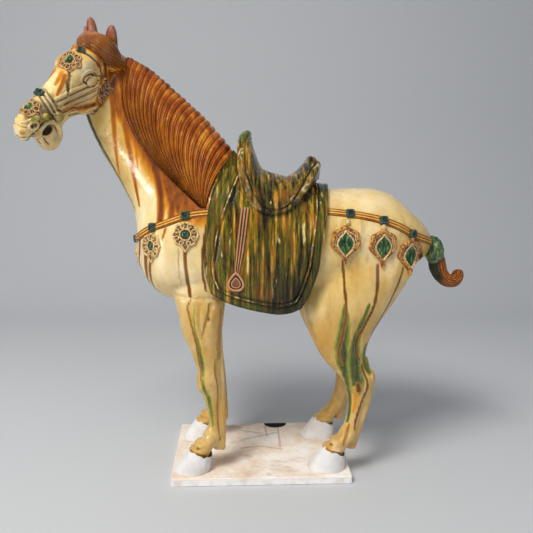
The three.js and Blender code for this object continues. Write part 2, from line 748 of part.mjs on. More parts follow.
function blanket() {
  const length = along(BLANKET_REAR, 0.5) - along(BLANKET_FRONT, 0.5);
  const drop = trunkRow(0).back - along(BLANKET_HEM, 0);
  const [edgeV, edgeH, lip] = [BLANKET_BORDER / length, BLANKET_BORDER / drop, BLANKET_PANEL_RISE / length];
  const shares = [0, edgeV, edgeV + lip, 0.36, 0.64, 1 - edgeV - lip, 1 - edgeV, 1];
  const heights = [0, edgeH, edgeH + lip, 0.3, 0.52, 0.74, 0.9];
  const lines = [...heights.map((h) => [h, LEFT]), [1, LEFT], ...heights.reverse().map((h) => [h, RIGHT])];
  const grid = shares.map((v) => lines.map(([h, flank]) => {
    const x = THREE.MathUtils.lerp(along(BLANKET_FRONT, h), along(BLANKET_REAR, h), v);
    const inPanel = v > edgeV && v < 1 - edgeV && h > edgeH;
    const extra = BLANKET_RISE + (inPanel ? BLANKET_PANEL_RISE : 0);
    const z = THREE.MathUtils.lerp(along(BLANKET_HEM, x), coatTop(x) + extra, h);
    return vector(x, h < 1 ? flank * hangingHalf(x, z, extra) : 0, z);
  }));
  return slab(grid, BLANKET_RISE + BLANKET_ROOT, (p) => vector(p.x, 0, Math.min(p.z, trunkRow(p.x).wide)));
}

function saddle() {
  const grid = SADDLE.map(([x, top, edge], i) => {
    const ends = i === 0 || i === SADDLE.length - 1;
    const { half, wide } = trunkRow(x);
    const reach = half + BLANKET_RISE + SADDLE_RISE;
    const row = [];
    const arch = (z, extra) => {
      const share = (z - wide) / (top + extra - wide);
      return (reach + extra) * Math.sqrt(Math.max(0, 1 - share * share));
    };
    const rimShare = Math.min(0.3, SADDLE_RIM_WIDTH / (top - edge) / 1.6);
    for (const h of [0, rimShare, rimShare + 0.02, 0.52, 0.76, 0.92, 1]) {
      const rim = h <= rimShare && !ends ? SADDLE_RIM_RISE : 0;
      const z = THREE.MathUtils.lerp(edge, top + rim, 1 - (1 - h) ** 1.6);
      row.push(vector(x, h < 1 ? -arch(z, rim) : 0, z));
    }
    const far = row.slice(0, -1).reverse().map((p) => vector(p.x, -p.y, p.z));
    return [...row, ...far];
  });
  return slab(grid, SADDLE_DEPTH, (p) => vector(p.x, 0, trunkRow(p.x).wide));
}

// Strap on the blanket that carried the stirrup, with its loop
function stirrupStrap(flank) {
  const lift = BLANKET_RISE + BLANKET_PANEL_RISE;
  const half = STIRRUP_STRAP_WIDTH / 2;
  const place = ([x, z], extra) => vector(x, flank * (hangingHalf(x, z, lift) + extra), z);
  const rings = STIRRUP_STRAP.map(([x, z]) => [
    place([x - half, z], -SINK), place([x - half, z], STIRRUP_STRAP_RISE),
    place([x + half, z], STIRRUP_STRAP_RISE), place([x + half, z], -SINK)]);
  const loop = egg(place(STIRRUP_LOOP, 0), [
    vector(STIRRUP_STRAP_WIDTH * 0.8, 0, 0), vector(0, STIRRUP_STRAP_RISE + 2, 0),
    vector(0, 0, STIRRUP_STRAP_WIDTH * 0.95)], 6, 4);
  return joined([loft(rings), loop]);
}

// Harness

function evenly(from, to, steps) {
  return Array.from({ length: steps + 1 }, (_, k) => from + ((to - from) * k) / steps);
}

// Flat strap round the trunk, between two turns about an upright axis
function strap(axis, ahead, route, reach, steps) {
  return loft(evenly(-reach, reach, steps).map((turn) => {
    const flank = turn < 0 ? LEFT : RIGHT;
    const { point, outward, upward } = onCoat(axis, along(route, Math.abs(turn)), ahead, Math.abs(turn), flank);
    const corner = (up, out) => point.clone().addScaledVector(upward, up).addScaledVector(outward, out);
    const half = HARNESS_WIDTH / 2;
    return [corner(-half, -SINK), corner(half, -SINK), corner(half, HARNESS_RISE), corner(-half, HARNESS_RISE)];
  }));
}

// Leaf outline with a round shoulder and a pointed foot
function leafShape(length, width) {
  const side = [0, 0.14, 0.36, 0.64, 0.84, 1].map((t) => [
    (width / 2) * Math.sin(Math.PI * t ** 0.85) ** 0.9, length * (0.5 - t)]);
  const points = [...side, ...side.slice(1, -1).reverse().map(([x, y]) => [-x, y])];
  return new THREE.Shape(points.map(([x, y]) => new THREE.Vector2(x, y)));
}

function pendant(place) {
  const leaf = (share) => leafShape(PENDANT_LENGTH * share, PENDANT_WIDTH * share);
  return joined([
    plate(leaf(1), PENDANT_RISE, place),
    plate(leaf(PENDANT_LEAF_SHARE), PENDANT_RISE + PENDANT_LEAF_RISE, place, 0),
  ]);
}

function harness() {
  const parts = [
    strap(BREAST_AXIS, -1, BREAST_STRAP, BREAST_REACH, 11),
    strap(CRUPPER_AXIS, 1, CRUPPER_STRAP, CRUPPER_REACH, 12),
  ];
  for (const flank of [LEFT, RIGHT]) {
    for (const [turn, z] of MEDALLIONS) {
      if (turn === 0 && flank === RIGHT) continue;
      const place = onCoat(BREAST_AXIS, z, -1, turn, flank);
      parts.push(rosette(place, MEDALLION_RADIUS, MEDALLION_RADIUS, MEDALLION_RISE));
      parts.push(squareBead(onCoat(BREAST_AXIS, along(BREAST_STRAP, turn), -1, turn, flank)));
    }
    for (const [turn, z] of PENDANTS) {
      parts.push(pendant(onCoat(CRUPPER_AXIS, z, 1, turn, flank)));
      parts.push(squareBead(onCoat(CRUPPER_AXIS, along(CRUPPER_STRAP, turn), 1, turn, flank)));
    }
  }
  return joined(parts);
}

// Tail: a wrapped root and a plume that curls up at its end
function tail() {
  const axes = [X_AXIS, Y_AXIS, Z_AXIS].map((axis, k) => axis.clone().multiplyScalar(TAIL_KNOT_SIZE[k]));
  return joined([
    egg(vector(...TAIL_KNOT), axes, 7, 5),
    cord(TAIL_PLUME.map((p) => vector(...p)), TAIL_RADII, 6),
  ]);
}

// Slab under the hooves, its front edge a little askew
function plinth() {
  const front = Math.min(...FORE_HOOF.map((row) => row[1])) - PLINTH_MARGIN_FRONT;
  const rear = Math.max(...HIND_HOOF.map((row) => row[2])) + PLINTH_MARGIN_REAR;
  const reach = Math.max(...FORE_HOOF.map((row) => row[3] + row[4]));
  const [left, right] = [-reach - PLINTH_MARGIN_LEFT, reach + PLINTH_MARGIN_RIGHT];
  const corners = [[front, left], [rear, left], [rear, right], [front - PLINTH_SKEW, right]]
    .map(([x, y]) => new THREE.Vector2(x, y));
  const outline = new THREE.Shape();
  corners.forEach((corner, k) => {
    const toward = (other) => corner.clone().add(other.clone().sub(corner).setLength(PLINTH_CORNER));
    const [before, after] = [corners[(k + 3) % 4], corners[(k + 1) % 4]];
    const start = toward(before);
    const end = toward(after);
    if (k === 0) outline.moveTo(start.x, start.y);
    else outline.lineTo(start.x, start.y);
    outline.quadraticCurveTo(corner.x, corner.y, end.x, end.y);
  });
  outline.closePath();
  return new THREE.ExtrudeGeometry(outline, {
    depth: PLINTH_THICKNESS - 2 * PLINTH_BEVEL,
    bevelThickness: PLINTH_BEVEL,
    bevelSize: PLINTH_BEVEL,
    bevelOffset: -PLINTH_BEVEL,
    bevelSegments: 1,
    curveSegments: 2,
  }).translate(0, 0, PLINTH_BEVEL);
}

const figure = joined([
  trunk(),
  neck(),
  leg(FORELEG, FORE_HOOF, FORE_TENDON, LEFT),
  leg(FORELEG, FORE_HOOF, FORE_TENDON, RIGHT, RIGHT_FORELEG_LEAN),
  leg(HIND_LEG, HIND_HOOF, HIND_TENDON, LEFT),
  leg(HIND_LEG, HIND_HOOF, HIND_TENDON, RIGHT),
  head(),
  hair(),
  mane(),
  blanket(),
  saddle(),
  stirrupStrap(LEFT),
  stirrupStrap(RIGHT),
  harness(),
  tail(),
]);

const glaze = new THREE.MeshStandardMaterial({ color: 0xd9c58f, roughness: 0.25, metalness: 0 });
const biscuit = new THREE.MeshStandardMaterial({ color: 0xe6ddcf, roughness: 0.9, metalness: 0 });

const horse = new THREE.Mesh(geometryOf(figure), glaze);
horse.name = 'glazed_horse';
horse.position.z = PLINTH_THICKNESS + SOLE_GAP;

const base = new THREE.Mesh(plinth(), biscuit);
base.name = 'plinth_slab';

const group = new THREE.Group();
group.add(horse, base);

export default group;
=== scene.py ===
"""Looks of the glazed pottery horse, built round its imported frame.

Stations are in millimetres, x along the horse, y to its right, z above the soles.
Objects are made in metres in the row frame, where the soles stand LIFT above the slab's underside.
"""

import functools
import math

import bpy
import numpy as np
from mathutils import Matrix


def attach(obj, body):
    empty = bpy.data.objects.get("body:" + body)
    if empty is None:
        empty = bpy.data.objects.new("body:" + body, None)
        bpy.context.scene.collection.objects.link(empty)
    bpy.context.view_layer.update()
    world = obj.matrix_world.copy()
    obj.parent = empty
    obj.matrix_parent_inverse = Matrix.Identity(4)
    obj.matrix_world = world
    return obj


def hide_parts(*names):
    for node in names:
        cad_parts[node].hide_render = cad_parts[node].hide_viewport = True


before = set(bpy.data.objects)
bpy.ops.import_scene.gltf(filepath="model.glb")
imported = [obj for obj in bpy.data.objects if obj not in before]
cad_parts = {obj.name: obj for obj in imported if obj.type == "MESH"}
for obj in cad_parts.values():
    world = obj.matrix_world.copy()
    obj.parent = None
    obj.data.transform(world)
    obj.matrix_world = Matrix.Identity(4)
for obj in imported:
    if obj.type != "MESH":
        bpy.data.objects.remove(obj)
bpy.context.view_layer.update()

LIFT = 12.3  # height of the soles above the slab's underside
LEFT = -1
RIGHT = 1


# Curves through stations


def table(rows, samples=40):
    """Smooth table through rows of [key, value, ...], to be read with look()."""
    rows = np.array(sorted(rows), float)
    keys, values = rows[:, 0], rows[:, 1:]
    slopes = np.gradient(values, keys, axis=0)
    fine = np.linspace(keys[0], keys[-1], samples * len(keys))
    low = np.clip(np.searchsorted(keys, fine) - 1, 0, len(keys) - 2)
    span = (keys[low + 1] - keys[low])[:, None]
    t = (fine - keys[low])[:, None] / span
    out = (
        (2 * t**3 - 3 * t**2 + 1) * values[low]
        + (t**3 - 2 * t**2 + t) * span * slopes[low]
        + (3 * t**2 - 2 * t**3) * values[low + 1]
        + (t**3 - t**2) * span * slopes[low + 1]
    )
    return fine, out


def look(smooth, key):
    fine, out = smooth
    return [np.interp(key, fine, out[:, k]) for k in range(out.shape[1])]


def bend(points, count):
    """Points of a smooth curve through the given ones, evenly by length."""
    points = np.array(points, float)
    key = np.concatenate([[0], np.cumsum(np.linalg.norm(np.diff(points, axis=0), axis=1))])
    out = table([[k, *p] for k, p in zip(key, points)])[1]
    length = np.concatenate([[0], np.cumsum(np.linalg.norm(np.diff(out, axis=0), axis=1))])
    at = np.linspace(0, length[-1], count)
    return np.stack([np.interp(at, length, out[:, k]) for k in range(out.shape[1])], axis=1)


def ramp(low, high, value):
    """0 at low, 1 at high, smooth between. low may be the larger one."""
    t = np.clip((value - low) / (high - low), 0, 1)
    return t * t * (3 - 2 * t)


def unit(vectors):
    return vectors / np.maximum(np.linalg.norm(vectors, axis=-1, keepdims=True), 1e-9)


def evenly(values, count):
    """Values given at even steps, read at count even steps."""
    return np.interp(np.linspace(0, 1, count), np.linspace(0, 1, len(values)), values)


def bell(value, middle, width):
    """1 at the middle, about a third at a width from it."""
    return np.exp(-(((value - middle) / width) ** 2))


def dome(reach):
    """Height of a round dome of half width 1, or 0 beyond it."""
    return np.sqrt(np.maximum(0, 1 - reach * reach))


# Distance-like fields, negative inside


def smooth_min(a, b, k):
    blend = np.maximum(k - np.abs(a - b), 0) / k
    return np.minimum(a, b) - blend**3 * k / 6


def smooth_max(a, b, k):
    return -smooth_min(-a, -b, k)


def section(across, along, half, rise, power=2.0):
    """Ellipse or superellipse section."""
    a, b = np.abs(across / half), np.abs(along / rise)
    q = np.maximum((a**power + b**power) ** (1 / power), 1e-6)
    r = np.hypot(across, along)
    return r - r / q


def egg(points, centre, radii, power=2.0):
    q = points - np.array(centre, float)
    s = (np.abs(q / np.array(radii, float)) ** power).sum(axis=1) ** (1 / power)
    r = np.linalg.norm(q, axis=1)
    return r - r / np.maximum(s, 1e-6)


def links(points, route, widths):
    """Distance from each straight link of a route, and the route's width there."""
    for k in range(len(route) - 1):
        axis = route[k + 1] - route[k]
        t = np.clip((points - route[k]) @ axis / max(axis @ axis, 1e-9), 0, 1)
        gap = np.linalg.norm(points - route[k] - t[:, None] * axis, axis=1)
        yield gap, widths[k] + (widths[k + 1] - widths[k]) * t


def rod(points, route, radii):
    """Chain of cones along a route, as the distance from their surface."""
    best = np.full(len(points), 1e3)
    for gap, radius in links(points, route, radii):
        best = np.minimum(best, gap - radius)
    return best


def near_box(points, low, high, margin):
    near = np.ones(len(points), bool)
    for k in range(3):
        near &= (points[:, k] > low[k] - margin) & (points[:, k] < high[k] + margin)
    return near


def stroke(points, route, widths):
    """1 on the middle of a painted or carved stroke, 0 at its edge, for points near its route."""
    value = np.zeros(len(points))
    near = near_box(points, route.min(axis=0), route.max(axis=0), np.max(widths) + 2)
    if near.any():
        best = np.zeros(near.sum())
        for gap, width in links(points[near], route, widths):
            best = np.maximum(best, 1 - gap / width)
        value[near] = best
    return value


FAR = 40.0  # value of a field far outside
MARGIN = 16.0  # reach of a part's field beyond its box


def field_of(parts):
    """Field of a list of parts, each [low corner, high corner, field, blend]."""

    def distance(points):
        d = np.full(len(points), FAR)
        for low, high, part, k in parts:
            near = near_box(points, low, high, MARGIN)
            if near.any():
                d[near] = smooth_min(d[near], part(points[near]), k)
        return d

    return distance


def gradient(field, points, step):
    rises = [field(points + step * axis) - field(points - step * axis) for axis in np.eye(3)]
    return np.stack(rises, axis=1) / (2 * step)


SLOPE_STEP = 0.4


def settle(field, points, rounds, level=0.0):
    """Moves points onto a field's surface, or onto a level above it."""
    for _ in range(rounds):
        d = field(points)
        g = np.stack([field(points + SLOPE_STEP * axis) - d for axis in np.eye(3)], axis=1) / SLOPE_STEP
        d = d - level
        points = points - np.clip(d / np.maximum((g * g).sum(axis=1), 0.1), -4, 4)[:, None] * g
    return points


def carved(base, strokes):
    """Field with strokes [route, widths, height] laid on its surface, a negative height being a groove."""
    laid = []
    for route, widths, height in strokes:
        count = max(8, 4 * len(route))
        laid.append((settle(base, bend(route, count), 6), evenly(widths, count), height))

    def distance(points):
        d = base(points)
        close = np.abs(d) < 10
        q = points[close]
        lift = np.zeros(len(q))
        for path, widths, height in laid:
            lift += height * ramp(0, 1, stroke(q, path, widths))
        d[close] -= lift
        return d

    return distance


# Trunk: place, back, belly, half width, height of the widest line
TRUNK = table([
    [-185, 350, 324, 6, 337], [-182, 366, 306, 24, 336], [-174, 392, 286, 42, 335],
    [-159, 410, 265, 54, 335], [-139, 427, 252, 62, 335], [-112, 438, 245, 68, 338],
    [-75, 447, 243, 73, 340], [-35, 444, 240, 78, 340], [20, 425, 238, 82, 335],
    [95, 412, 240, 81, 336], [135, 413, 247, 79, 342], [165, 412, 258, 76, 346],
    [194, 402, 273, 68, 348], [220, 380, 290, 55, 344], [240, 362, 304, 38, 337],
    [251, 348, 316, 20, 333], [255, 338, 326, 5, 332],
])
TRUNK_REACH = (-185, 255)

# Neck: crest x and z, throat x and z, half width, shift to the left
NECK = [
    [-28, 442, -133, 265, 54, 0], [-57, 477, -180, 330, 54, 0], [-84, 508, -190, 378, 47, 0],
    [-110, 532, -204, 412, 41, 0], [-138, 557, -219, 440, 35, 1], [-164, 579, -235, 468, 30, 3],
    [-189, 594, -248, 497, 25, 5], [-208, 605, -256, 524, 21, 8], [-219, 612, -260, 550, 17, 11],
]

# Legs: height, front, back, distance from the middle plane, half width
FORELEG = [
    [310, -142, -46, 36, 24], [268, -130, -50, 45, 27], [250, -126, -54, 48, 26], [235, -122, -56, 50, 26],
    [208, -117, -59, 52, 23], [176, -104, -60, 53, 19], [146, -94, -61, 53, 16], [130, -93, -60, 53, 16.5],
    [118, -90, -60, 53, 15], [98, -84, -62, 53, 11], [68, -80.5, -62, 53, 10], [54, -86, -61, 53, 12.5],
    [42, -95, -66, 53, 14], [30, -106, -76, 53, 15.5], [20, -112, -80, 53, 14],
]
HIND_LEG = [
    [330, 96, 226, 34, 30], [290, 73, 215, 44, 34], [250, 58, 190, 50, 32], [220, 61, 169, 52, 28],
    [190, 73, 153, 53, 23], [165, 88, 149, 53, 18], [148, 103, 153, 53, 16], [136, 114, 160, 53, 15.5],
    [126, 120, 161, 53, 15], [114, 124, 156, 53, 12.5], [96, 125, 150, 53, 11], [72, 121, 144, 53, 10],
    [56, 115, 138, 53, 12.5], [42, 104, 130, 53, 14], [30, 90, 123, 53, 15.5], [20, 84, 118, 53, 14],
]
FORE_TENDON = [
    [178, -74, -58, 53, 5], [150, -75, -57, 53, 6], [120, -75, -55, 53, 6.5], [60, -74, -55, 53, 6],
    [30, -72, -56, 53, 5.5],
]
HIND_TENDON = [
    [168, 137, 152, 53, 5], [148, 141, 157, 53, 6], [128, 147, 163, 53, 6.5], [100, 141, 158, 53, 6.5],
    [62, 130, 147, 53, 6], [28, 124, 137, 53, 5.5],
]
RIGHT_FORELEG_LEAN = -7.0
LEG_TOP = 310.0


def trunk_half(x, z, extra):
    """Half width of the trunk at a place, extra above its skin, or 0 outside it."""
    back, belly, half, wide = look(TRUNK, x)
    reach = np.where(z > wide, (z - wide) / (back + extra - wide), (wide - z) / (wide - belly + extra))
    return (half + extra) * dome(reach)


def trunk(points):
    x, y, z = points.T
    back, belly, half, wide = look(TRUNK, x)
    rise = np.where(z > wide, back - wide, wide - belly)
    chest = 2.0 + 1.6 * ramp(-20, -90, x) * (z < wide)
    a, b = np.abs(y / half), np.abs((z - wide) / rise)
    q = np.maximum((a**chest + b**chest) ** (1 / chest), 1e-6)
    r = np.hypot(y, z - wide)
    return np.maximum(r - r / q, np.maximum(TRUNK_REACH[0] - x, x - TRUNK_REACH[1]))


def neck_rings():
    out = table([[k, *row] for k, row in enumerate(NECK)], 12)[1]
    crest, throat = out[:, 0:2], out[:, 2:4]
    centre = (crest + throat) / 2
    height = np.linalg.norm(crest - centre, axis=1)
    return centre, (crest - centre) / height[:, None], height, out[:, 4], out[:, 5]


RING_CENTRE, RING_UP, RING_HEIGHT, RING_HALF, RING_SHIFT = neck_rings()
RASTER_PITCH = 3.0
RASTER_X = np.arange(-330, 60, RASTER_PITCH)
RASTER_Z = np.arange(180, 700, RASTER_PITCH)


def ring_raster():
    """Number of the neck's ring for each place of a raster over its side view."""
    gx, gz = np.meshgrid(RASTER_X, RASTER_Z, indexing="ij")
    past = [u[1] * (gx - c[0]) - u[0] * (gz - c[1]) for c, u in zip(RING_CENTRE, RING_UP)]
    number = np.where(past[0] > 0, 0.0, len(past) - 1.0)
    for k in range(len(past) - 1):
        between = (past[k] <= 0) & (past[k + 1] > 0)
        share = past[k] / np.minimum(past[k] - past[k + 1], -1e-6)
        number = np.where(between, k + share, number)
    return number


RASTER = ring_raster()


def ring_number(x, z):
    u = np.clip((x - RASTER_X[0]) / RASTER_PITCH, 0, len(RASTER_X) - 1.001)
    v = np.clip((z - RASTER_Z[0]) / RASTER_PITCH, 0, len(RASTER_Z) - 1.001)
    i, j = u.astype(int), v.astype(int)
    a, b = u - i, v - j
    return (
        RASTER[i, j] * (1 - a) * (1 - b) + RASTER[i + 1, j] * a * (1 - b)
        + RASTER[i, j + 1] * (1 - a) * b + RASTER[i + 1, j + 1] * a * b
    )


def neck_place(x, z):
    """Ring values at a place of the side view: height on the ring, its half height, half width, shift."""
    number = ring_number(x, z)
    keys = np.arange(len(RING_HEIGHT))
    cx, cz = np.interp(number, keys, RING_CENTRE[:, 0]), np.interp(number, keys, RING_CENTRE[:, 1])
    ux, uz = np.interp(number, keys, RING_UP[:, 0]), np.interp(number, keys, RING_UP[:, 1])
    along = (x - cx) * ux + (z - cz) * uz
    height, half, shift = [np.interp(number, keys, v) for v in (RING_HEIGHT, RING_HALF, RING_SHIFT)]
    return along, height, half, shift


def neck(points):
    x, y, z = points.T
    along, height, half, shift = neck_place(x, z)
    # an egg section, a little wider toward the throat
    swell = half * (1 + 0.08 * np.clip(-along / height, -1, 1))
    first, last = RING_CENTRE[0], RING_CENTRE[-1]
    start = RING_UP[0][1] * (x - first[0]) - RING_UP[0][0] * (z - first[1])
    end = RING_UP[-1][1] * (x - last[0]) - RING_UP[-1][0] * (z - last[1])
    return np.maximum(section(y + shift, along, swell, height), np.maximum(start, -end))


def neck_half(x, z, extra):
    along, height, half, _ = neck_place(x, z)
    return (half + extra) * dome(along / (height + extra))


def upright(points, flank, lean):
    """Points as if the leg stood straight on the right: x, distance from the middle plane, z."""
    x, y, z = points.T
    shift = lean * np.sin(np.pi * np.clip(z, 0, LEG_TOP) / LEG_TOP) ** 2
    return np.stack([x - shift, y * flank, z], axis=1)


def limb(rows, power=2.0):
    smooth = table(rows)
    low, high = min(row[0] for row in rows), max(row[0] for row in rows)

    def distance(q):
        front, back, out, half = look(smooth, q[:, 2])
        side = section(q[:, 0] - (front + back) / 2, q[:, 1] - out, (back - front) / 2, half, power)
        return np.maximum(side, np.maximum(low - q[:, 2], q[:, 2] - high))

    return distance


def leg(rows, tendon_rows, flank, lumps, lean=0.0):
    """Leg of a loft, a tendon strip behind the cannon and lumps [centre, radii, blend]."""
    upper, tendon = limb(rows), limb(tendon_rows, 2.6)

    def distance(points):
        q = upright(points, flank, lean)
        d = upper(q)
        for centre, radii, k in lumps:
            d = smooth_min(d, egg(q, centre, radii), k)
        return smooth_min(d, tendon(q), 2.0)

    return distance


FORE_LUMPS = [  # knee, its boss, fetlock, pastern rolls
    [[-80, 53, 137], [16.5, 17.5, 18], 8], [[-84, 58, 128], [11, 12, 10], 5],
    [[-76, 53, 50], [12.5, 14.5, 12], 8],
    [[-88, 53, 40], [14, 15.5, 6], 3], [[-93, 53, 31], [16.5, 17, 5.5], 3],
]
HIND_LUMPS = [  # hock, its point, fetlock, pastern rolls
    [[140, 54, 132], [20, 15.5, 18], 9], [[156, 53, 138], [8, 8.5, 11], 8],
    [[126, 53, 51], [12.5, 14.5, 12], 8],
    [[112, 53, 40], [14, 15.5, 6], 3], [[104, 53, 31], [16.5, 17, 5.5], 3],
]


def shoulder(points):
    return egg(points, [-104, 0, 318], [60, 76, 60], 3.2)


# Head frame: poll, turn to the left, nod and tilt
HEAD_POLL = np.array([-222.0, -20.0, 595.0])
HEAD_TURN, HEAD_NOD, HEAD_TILT = math.radians(33.5), math.radians(45.7), math.radians(-28.6)
HEAD_SIZE = 0.835


def head_axes():
    """Unit vectors along the face, to the horse's left and up from the face."""
    ahead = np.array([
        -math.cos(HEAD_TURN) * math.cos(HEAD_NOD),
        -math.sin(HEAD_TURN) * math.cos(HEAD_NOD),
        -math.sin(HEAD_NOD),
    ])
    level = np.array([math.sin(HEAD_TURN), -math.cos(HEAD_TURN), 0.0])
    left = level * math.cos(HEAD_TILT) + np.cross(ahead, level) * math.sin(HEAD_TILT)
    return np.array([ahead, left, np.cross(ahead, left)])


HEAD_AXES = head_axes()


def to_head(points):
    return (points - HEAD_POLL) @ HEAD_AXES.T / HEAD_SIZE


def from_head(points):
    return HEAD_POLL + np.array(points, float) @ HEAD_AXES * HEAD_SIZE


def one_side(q):
    """Places in the head's frame, with those of the right side of the face moved to the left."""
    return q * [1, 0, 1] + np.abs(q) * [0, 1, 0]


# Along the face, top, bottom, half width, widest line
SKULL = table([
    [-14, 16, -22, 14, -2], [-2, 30, -34, 25, 0], [18, 38, -44, 31, 2], [42, 40, -46, 32, 4],
    [60, 38, -42, 31, 8], [82, 33, -35, 28, 8], [104, 28, -29, 24, 5], [126, 25, -24, 21, 4],
    [146, 23, -14, 19, 5], [166, 22, -10, 19, 5], [182, 18, -12, 17, 3], [194, 10, -11, 13, 0],
    [199, 3, -7, 7, -2],
])
JAW = table([
    [30, -20, -50, 15, -36], [62, -24, -55, 18, -42], [92, -20, -45, 17, -34], [122, -14, -34, 15, -25],
    [146, -20, -40, 15, -31], [162, -30, -52, 13, -42], [177, -36, -51, 8, -44],
])
SKULL_REACH = (-14, 199)
JAW_REACH = (30, 180)
FACE_LUMPS = [  # centre, radii, blend, on both sides
    [[56, 21, 18], [23, 14.5, 17], 6],  # brow over the eye
    [[57, 30, 2], [11.5, 9, 8.5], 2],  # eye
    [[70, 17, -27], [33, 10, 22], 8],  # cheek
    [[118, 13, 6], [26, 10, 13], 8],  # side of the nose
    [[173, 13, 4], [12, 7, 9], 4],  # nostril
    [[134, 21, -10], [8, 7, 9], 2],  # boss at the end of the nose band
    [[192, 6, -4], [8, 8, 8], 3],  # upper lip
    [[168, 4, -46], [11, 8, 8], 3],  # lower lip
    [[176, 11, -12], [9, 7, 8], 4],  # hanging edge of the upper lip
    [[162, 18, 11], [6, 4.5, 5], 2],  # folds behind the nostril
    [[151, 20, 3], [6, 4.5, 6], 2],
    [[159, 0, -32], [19, 13, 16], 7],  # floor of the mouth
]
MOUTH_RING = [
    (174, 14, -13), (166, 18, -7), (155, 20, -5), (146, 20, -12), (144, 18, -26), (148, 15, -38),
    (157, 10, -47), (166, 7, -52), (175, 7, -44), (177, 9, -31), (175, 12, -22),
]
MOUTH_RADII = [2.6, 3.4, 3.6, 3.8, 4.2, 4.4, 4.6, 4.8, 4.0, 3.4, 2.6]
MOUTH_BOX = [[130, 0, -62], [188, 30, 4]]
MOUTH = [[160, 15, -19], [12.5, 13, 7.8]]
MOUTH_STEPS = 20
MOUTH_ROUTE = bend(MOUTH_RING, MOUTH_STEPS)
MOUTH_ROUTE_RADII = evenly(MOUTH_RADII, MOUTH_STEPS)


def loft_in_head(q, smooth, reach, power=2.0):
    top, bottom, half, wide = look(smooth, q[:, 0])
    rise = np.where(q[:, 2] > wide, top - wide, wide - bottom)
    side = section(q[:, 1], q[:, 2] - wide, half, rise, power)
    return np.maximum(side, np.maximum(reach[0] - q[:, 0], q[:, 0] - reach[1]))


def head(points):
    q = to_head(points)
    d = smooth_min(loft_in_head(q, SKULL, SKULL_REACH, 2.2), loft_in_head(q, JAW, JAW_REACH), 5)
    mirrored = one_side(q)
    for centre, radii, k in FACE_LUMPS:
        d = smooth_min(d, egg(mirrored, centre, radii), k)
    near = near_box(mirrored, *MOUTH_BOX, 8)
    if near.any():
        lips = smooth_min(d[near], rod(mirrored[near], MOUTH_ROUTE, MOUTH_ROUTE_RADII), 5)
        d[near] = smooth_max(lips, -egg(mirrored[near], *MOUTH), 2.5)
    return d * HEAD_SIZE


HEAD_BOX = [[-345, -125, 415], [-170, 45, 640]]
TORSO = [
    ([-195, -95, 225], [260, 95, 460], trunk, 1),
    ([-300, -75, 240], [20, 75, 640], neck, 18),
]
FIGURE = TORSO + [
    ([-168, -82, 256], [-42, 82, 380], shoulder, 14),
    ([-165, -90, 18], [-30, 0, 320], leg(FORELEG, FORE_TENDON, LEFT, FORE_LUMPS), 4),
    ([-175, 0, 18], [-30, 90, 320], leg(FORELEG, FORE_TENDON, RIGHT, FORE_LUMPS, RIGHT_FORELEG_LEAN), 4),
    ([45, -95, 18], [235, 0, 345], leg(HIND_LEG, HIND_TENDON, LEFT, HIND_LUMPS), 16),
    ([45, 0, 18], [235, 95, 345], leg(HIND_LEG, HIND_TENDON, RIGHT, HIND_LUMPS), 16),
    (*HEAD_BOX, head, 7),
]


def both_flanks(strokes):
    """The strokes of the left side, and the same on the right side."""
    mirrored = [[[(x, -y, z) for x, y, z in route], *rest] for route, *rest in strokes]
    return strokes + mirrored


BODY_STROKES = both_flanks([
    # grooves between the muscles of the forearm, below the chest
    [[(-102, -74, 250), (-98, -76, 225), (-92, -74, 200), (-87, -70, 168)], [4, 4, 3.5, 2.5], -3.8],
    [[(-88, -75, 250), (-89, -75, 228), (-88, -72, 200)], [4, 3.5, 2.5], -3.0],
    [[(-72, -72, 250), (-78, -73, 230), (-85, -73, 204)], [4.4, 4.2, 3.0], -3.8],
    [[(-55, -60, 250), (-58, -60, 220), (-66, -66, 186)], [4, 3.5, 2.5], -2.2],
    # edge of the chest over the foreleg
    [[(-128, -64, 261), (-102, -74, 259), (-78, -74, 258), (-54, -62, 257)], [3.5, 4, 4, 3.5], -2.6],
    # line before the tendon, from the elbow to the fetlock
    [[(-58, -60, 200), (-63, -66, 165), (-64, -62, 107), (-65, -61, 46)], [2.2, 2.4, 2.4, 2], -1.6],
    # tendon line of the hind leg
    [[(143, -64, 176), (146, -63, 158), (153, -62, 142), (148, -61, 105), (138, -60, 58)],
     [2.2, 2.6, 2.6, 2.4, 2], -1.8],
    # hollow above the hock and under the point of the rump
    [[(128, -74, 222), (133, -72, 190), (136, -68, 162)], [9, 9, 6], -3.0],
    [[(198, -62, 300), (188, -66, 268), (172, -66, 236), (156, -62, 206)], [14, 16, 14, 9], -2.2],
    # shoulder blade and the edge of the forearm muscle
    [[(-60, -66, 392), (-92, -62, 360), (-120, -62, 326)], [16, 18, 14], 1.5],
]) + [
    # cleft of the chest
    [[(-189, 0, 350), (-187, 0, 320), (-174, 0, 284), (-150, 0, 256)], [8, 13, 14, 10], -4.0],
    # hollow of the throat
    [[(-231, -5, 466), (-208, -3, 424), (-196, 0, 388)], [5, 8, 6], 1.2],
]


def in_head(strokes):
    """Strokes given on the left in the head's frame, on both sides."""
    return [
        [from_head([(a, side * l, u) for a, l, u in route]), [w * HEAD_SIZE for w in widths], height]
        for side in (1, -1) for route, widths, height in strokes
    ]


RING_STEPS = 14


def ring_route(centre, half_along, half_above):
    """Closed ring round a place of the face, seen from the side."""
    a, l, u = centre
    turns = np.linspace(0, 2 * math.pi, RING_STEPS)
    return [(a + half_along * math.cos(t), l, u + half_above * math.sin(t)) for t in turns]


